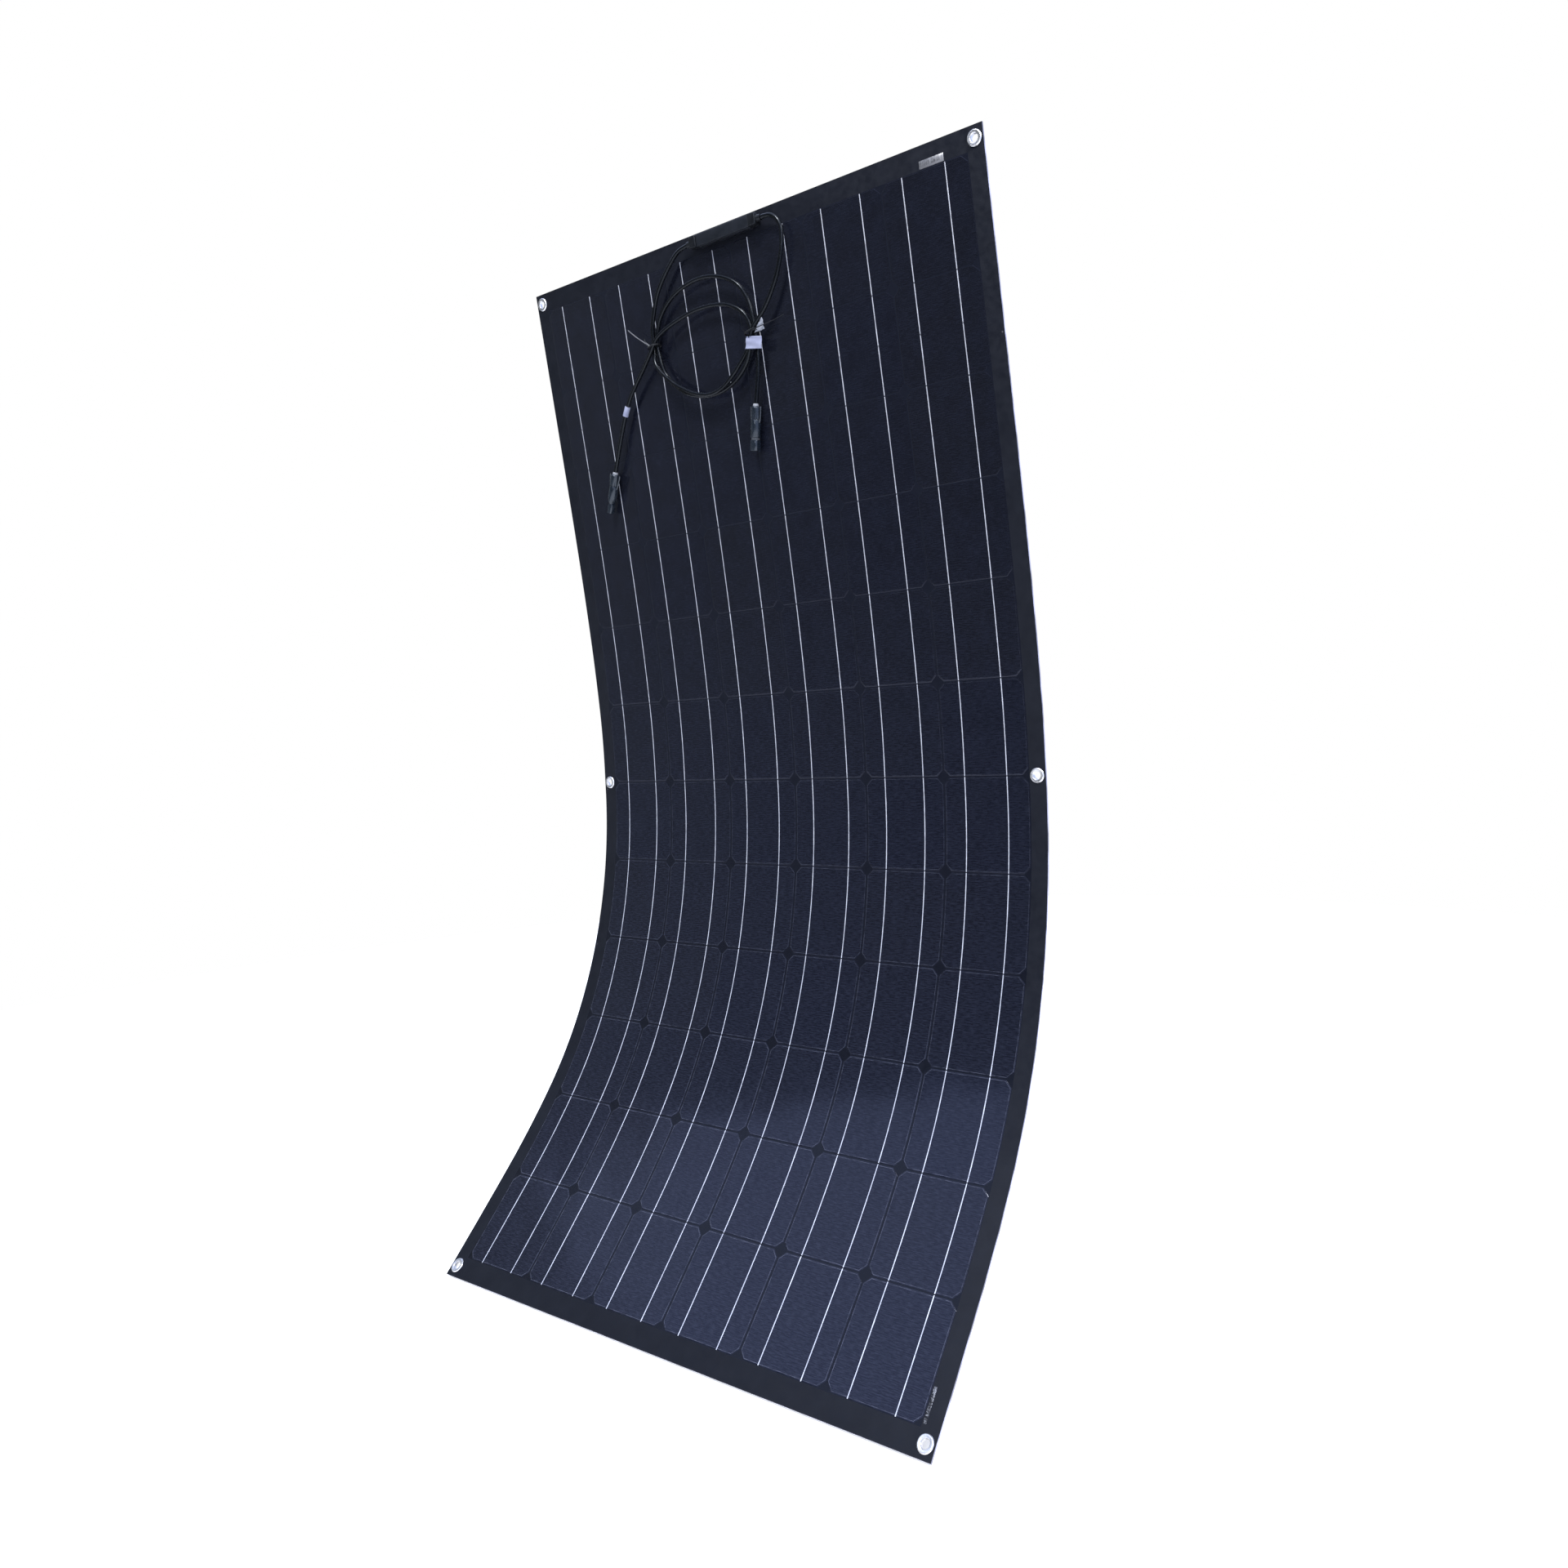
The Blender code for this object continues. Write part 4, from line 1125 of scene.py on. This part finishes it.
def build_strip(number, low, high, body, lower_body):
    """Build the laminate, cells and ribbons of one strip. Those of a strip within one body are attached
    to it; those of a strip that spans two bodies are left loose, with their transforms baked.
    """
    side = SHEET_WIDTH / 2
    loops = [[(-side, low), (side, low), (side, high), (-side, high)]]
    loops += [hole_loop(x, s) for x in (-EYELET_SIDE, EYELET_SIDE)
              for s in (-EYELET_END, 0.0, EYELET_END) if low < s < high]
    slab_mesh = outline_mesh("slab", loops, 0.0, MARGIN_W, steps_between(low, high))
    slab = new_object(f"laminate_{number:02d}", slab_mesh, MARGIN, BACK, EDGE)

    cells = []
    ribbons = []
    for centre, start, end in strip_parts(low, high):
        whole_start = start < -CELL_SIZE / 2 + TINY
        whole_end = end > CELL_SIZE / 2 - TINY
        foot = centre + start + (RIBBON_INSET if whole_start else RIBBON_CUT_INSET)
        head = centre + end - (RIBBON_INSET if whole_end else RIBBON_CUT_INSET)
        for column in range(COLUMNS):
            x = (column - COLUMNS / 2 + 0.5) * CELL_PITCH
            cells.append(cell_mesh("cell", x, centre, start, end))
            for offset in (-RIBBON_OFFSET, RIBBON_OFFSET):
                ribbons.append(ribbon_mesh("ribbon", x + offset, foot, head))
    cell_piece = new_object(f"cells_{number:02d}", join_meshes("cells", cells), CELL, OUTLINE)
    ribbon_piece = new_object(f"ribbons_{number:02d}", join_meshes("ribbons", ribbons), RIBBON)
    for piece in (cell_piece, ribbon_piece):
        smooth(piece.data)
    top = sheet_point(0, high, MIDDLE_W)
    bottom = sheet_point(0, low, MIDDLE_W)
    for piece, slot in ((slab, "backsheet"), (cell_piece, "cell"), (ribbon_piece, "steel")):
        if lower_body:
            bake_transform(piece)
        else:
            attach(piece, body)
    return slab, cell_piece


def body_of_row(row):
    return "middle" if row in (6, 7) else f"row_{row:02d}"


def build_laminate():
    half = SHEET_LENGTH / 2
    edges = [half] + [row_centre(row) for row in range(1, ROWS + 1)] + [-half]
    stood_for = set()
    for number, (high, low) in enumerate(zip(edges, edges[1:])):
        above = body_of_row(max(1, number))
        below = body_of_row(min(ROWS, number + 1))
        slab, cells = build_strip(number + 1, low, high, above, None if above == below else below)
        fresh = {above, below} - stood_for
        stood_for |= fresh
        for body in sorted(fresh):
            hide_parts(f"backsheet_{body}", f"front_film_{body}")
            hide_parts(f"cells_{body}")


build_laminate()


# ---- eyelets

def add_eyelet(level, hand, x, s, body):
    """Build an eyelet's rolled front flange and barrel, and its curled washer behind."""
    matrix = sheet_matrix(x, s, 0.0)
    base = FRONT_W + 0.0002
    crown = base + EYELET_CROWN
    front = [(EYELET_FLANGE, base), (EYELET_FLANGE + 0.0001, base + 0.0003)]
    front += arc((EYELET_FLANGE - 0.0014, crown - 0.0010), 0.0011, 20, 90, 6)
    front += [(EYELET_FLANGE - 0.0024, crown - 0.0001)]
    front += arc((EYELET_HOLE + 0.0014, crown - 0.0014), 0.0013, 95, 180, 8)
    front += [(EYELET_HOLE, 0.0), (EYELET_HOLE, EYELET_BACK), (EYELET_BARREL, EYELET_BACK),
              (EYELET_BARREL, base)]
    eyelet = turned(f"eyelet_{level}_{hand}_steel", front, STEEL, matrix, 64)
    dress(eyelet, body, "steel", f"eyelet_{level}_{hand}")
    back = [(SHEET_HOLE, -0.0002), (EYELET_FLANGE, -0.0002), (EYELET_FLANGE, -0.0006)]
    back += arc((EYELET_FLANGE - 0.0006, -0.0006), 0.0005, 0, -90, 5)
    back += arc((EYELET_BARREL + 0.0010, EYELET_BACK - 0.0001), 0.0008, -60, -200, 8)
    washer = turned(f"washer_{level}_{hand}_steel", back, STEEL, matrix, 64)
    dress(washer, body, "steel", f"eyelet_washer_{level}_{hand}")


for level, s, body in (("top", EYELET_END, "row_01"), ("middle", 0.0, "middle"),
                       ("bottom", -EYELET_END, "row_12")):
    for hand, x in (("left", -EYELET_SIDE), ("right", EYELET_SIDE)):
        add_eyelet(level, hand, x, s, body)


# ---- the junction box

def box_shell(name, depth, behind, radius):
    """Build the box's base or lid, with the given height of the front and gaps behind it."""
    place = sheet_matrix(0, BOX_S, behind + depth / 2)
    return rounded_block(name, (BOX_LENGTH, BOX_WIDTH, depth), BOX, place, radius)


def add_box():
    base_back = FRONT_W + TOUCH_GAP
    base = box_shell("box_base", BOX_BASE_DEPTH, base_back, 0.0008)
    dress_top(base, "box_plastic", "junction_box_base", "diode_board")
    lid = box_shell("box_lid", BOX_LID_DEPTH, base_back + BOX_BASE_DEPTH + TOUCH_GAP, 0.0012)
    dress_top(lid, "box_plastic", "junction_box_lid")
    for hand, side in (("left", -1), ("right", 1)):
        turn = Matrix.Rotation(side * math.pi / 2, 4, "Y")
        matrix = sheet_matrix(side * (BOX_LENGTH / 2 + TOUCH_GAP), BOX_S, FRONT_W + GLAND_HEIGHT) @ turn
        block_matrix = matrix @ Matrix.Translation((0, 0, GLAND_BLOCK[2] / 2))
        block = rounded_block(f"gland_block_{hand}", GLAND_BLOCK, GLAND, block_matrix, 0.0010, 3, 0.97)
        dress_top(block, "box_plastic", f"cable_gland_{hand}")
        nose = [(0.0, 0.0120), (0.0050, 0.0120), (0.0050, 0.0140), (0.0046, 0.0152), (0.0044, 0.0174),
                (0.0040, GLAND_LENGTH), (0.0031, GLAND_LENGTH), (0.0, GLAND_LENGTH)]
        dress_top(turned(f"gland_nose_{hand}", nose, GLAND, matrix), "box_plastic")


add_box()


# ---- stickers

def add_sticker(name, place, size, turn, material, body):
    thickness = 0.0002
    matrix = sheet_matrix(*place, MARGIN_W + thickness / 2) @ Matrix.Rotation(turn, 4, "Z")
    dress(rounded_block(name, (*size, thickness), material, matrix, 0.00005, 1), body, "label")


add_sticker("bar_label", (0.3305, 0.7675), (0.0350, 0.0095), 0.0, BARS, "row_01")
add_sticker("tick_strip", (0.3840, -0.7400), (0.0360, 0.0040), math.pi / 2, TICKS, "row_12")


# ---- the studio

def add_area(name, place, aim, size, power, color):
    light = bpy.data.lights.new(name, "AREA")
    light.shape = "RECTANGLE"
    light.size = size[0]
    light.size_y = size[1]
    light.energy = power
    light.color = color
    holder = new_object(name, light)
    holder.location = place
    holder.rotation_euler = (Vector(aim) - Vector(place)).to_track_quat("-Z", "Y").to_euler()


def add_floor():
    work = bmesh.new()
    bmesh.ops.create_circle(work, cap_ends=True, segments=96, radius=FLOOR_RADIUS)
    material, _, shader = new_material("pale_floor", 0.9, gloss=0.2)
    shader.inputs["Base Color"].default_value = (0.95, 0.93, 0.89, 1.0)
    shader.inputs["Emission Color"].default_value = (1.0, 0.96, 0.88, 1.0)
    shader.inputs["Emission Strength"].default_value = FLOOR_GLOW
    floor = new_object("floor", new_mesh("floor", work), material)
    floor.location.z = cad_box[0].z - FLOOR_GAP


def add_world():
    """Light from a bright sky above a slanting roof line, over a dark room with a paler left wall."""
    world = bpy.data.worlds.new("studio")
    bpy.context.scene.world = world
    world.use_nodes = True
    tree = world.node_tree
    sky = tree.nodes["Background"]
    direction = add_node(tree, "TexCoord").outputs["Generated"]
    above = add_node(tree, "VectorMath", {0: direction, 1: ROOF_NORMAL}, operation="DOT_PRODUCT")
    lit = ramp(tree, above.outputs["Value"], *ROOF_EDGE)
    leftward = times(tree, split(tree, direction)[0], -1.0)
    room = mix(tree, ramp(tree, leftward, *WALL_EDGE), ROOM_COLOR, WALL_COLOR)
    tree.links.new(mix(tree, lit, room, SKY_COLOR), sky.inputs["Color"])
    backdrop = add_node(tree, "Background", {"Color": (1.0, 1.0, 1.0, 1.0)})
    seen = add_node(tree, "LightPath").outputs["Is Camera Ray"]
    both = add_node(tree, "MixShader", {0: seen, 1: sky.outputs[0], 2: backdrop.outputs[0]})
    tree.links.new(both.outputs[0], tree.nodes["World Output"].inputs["Surface"])


add_floor()
add_world()
for light in LIGHTS:
    add_area(*light)
bpy.context.scene.view_settings.view_transform = "Standard"
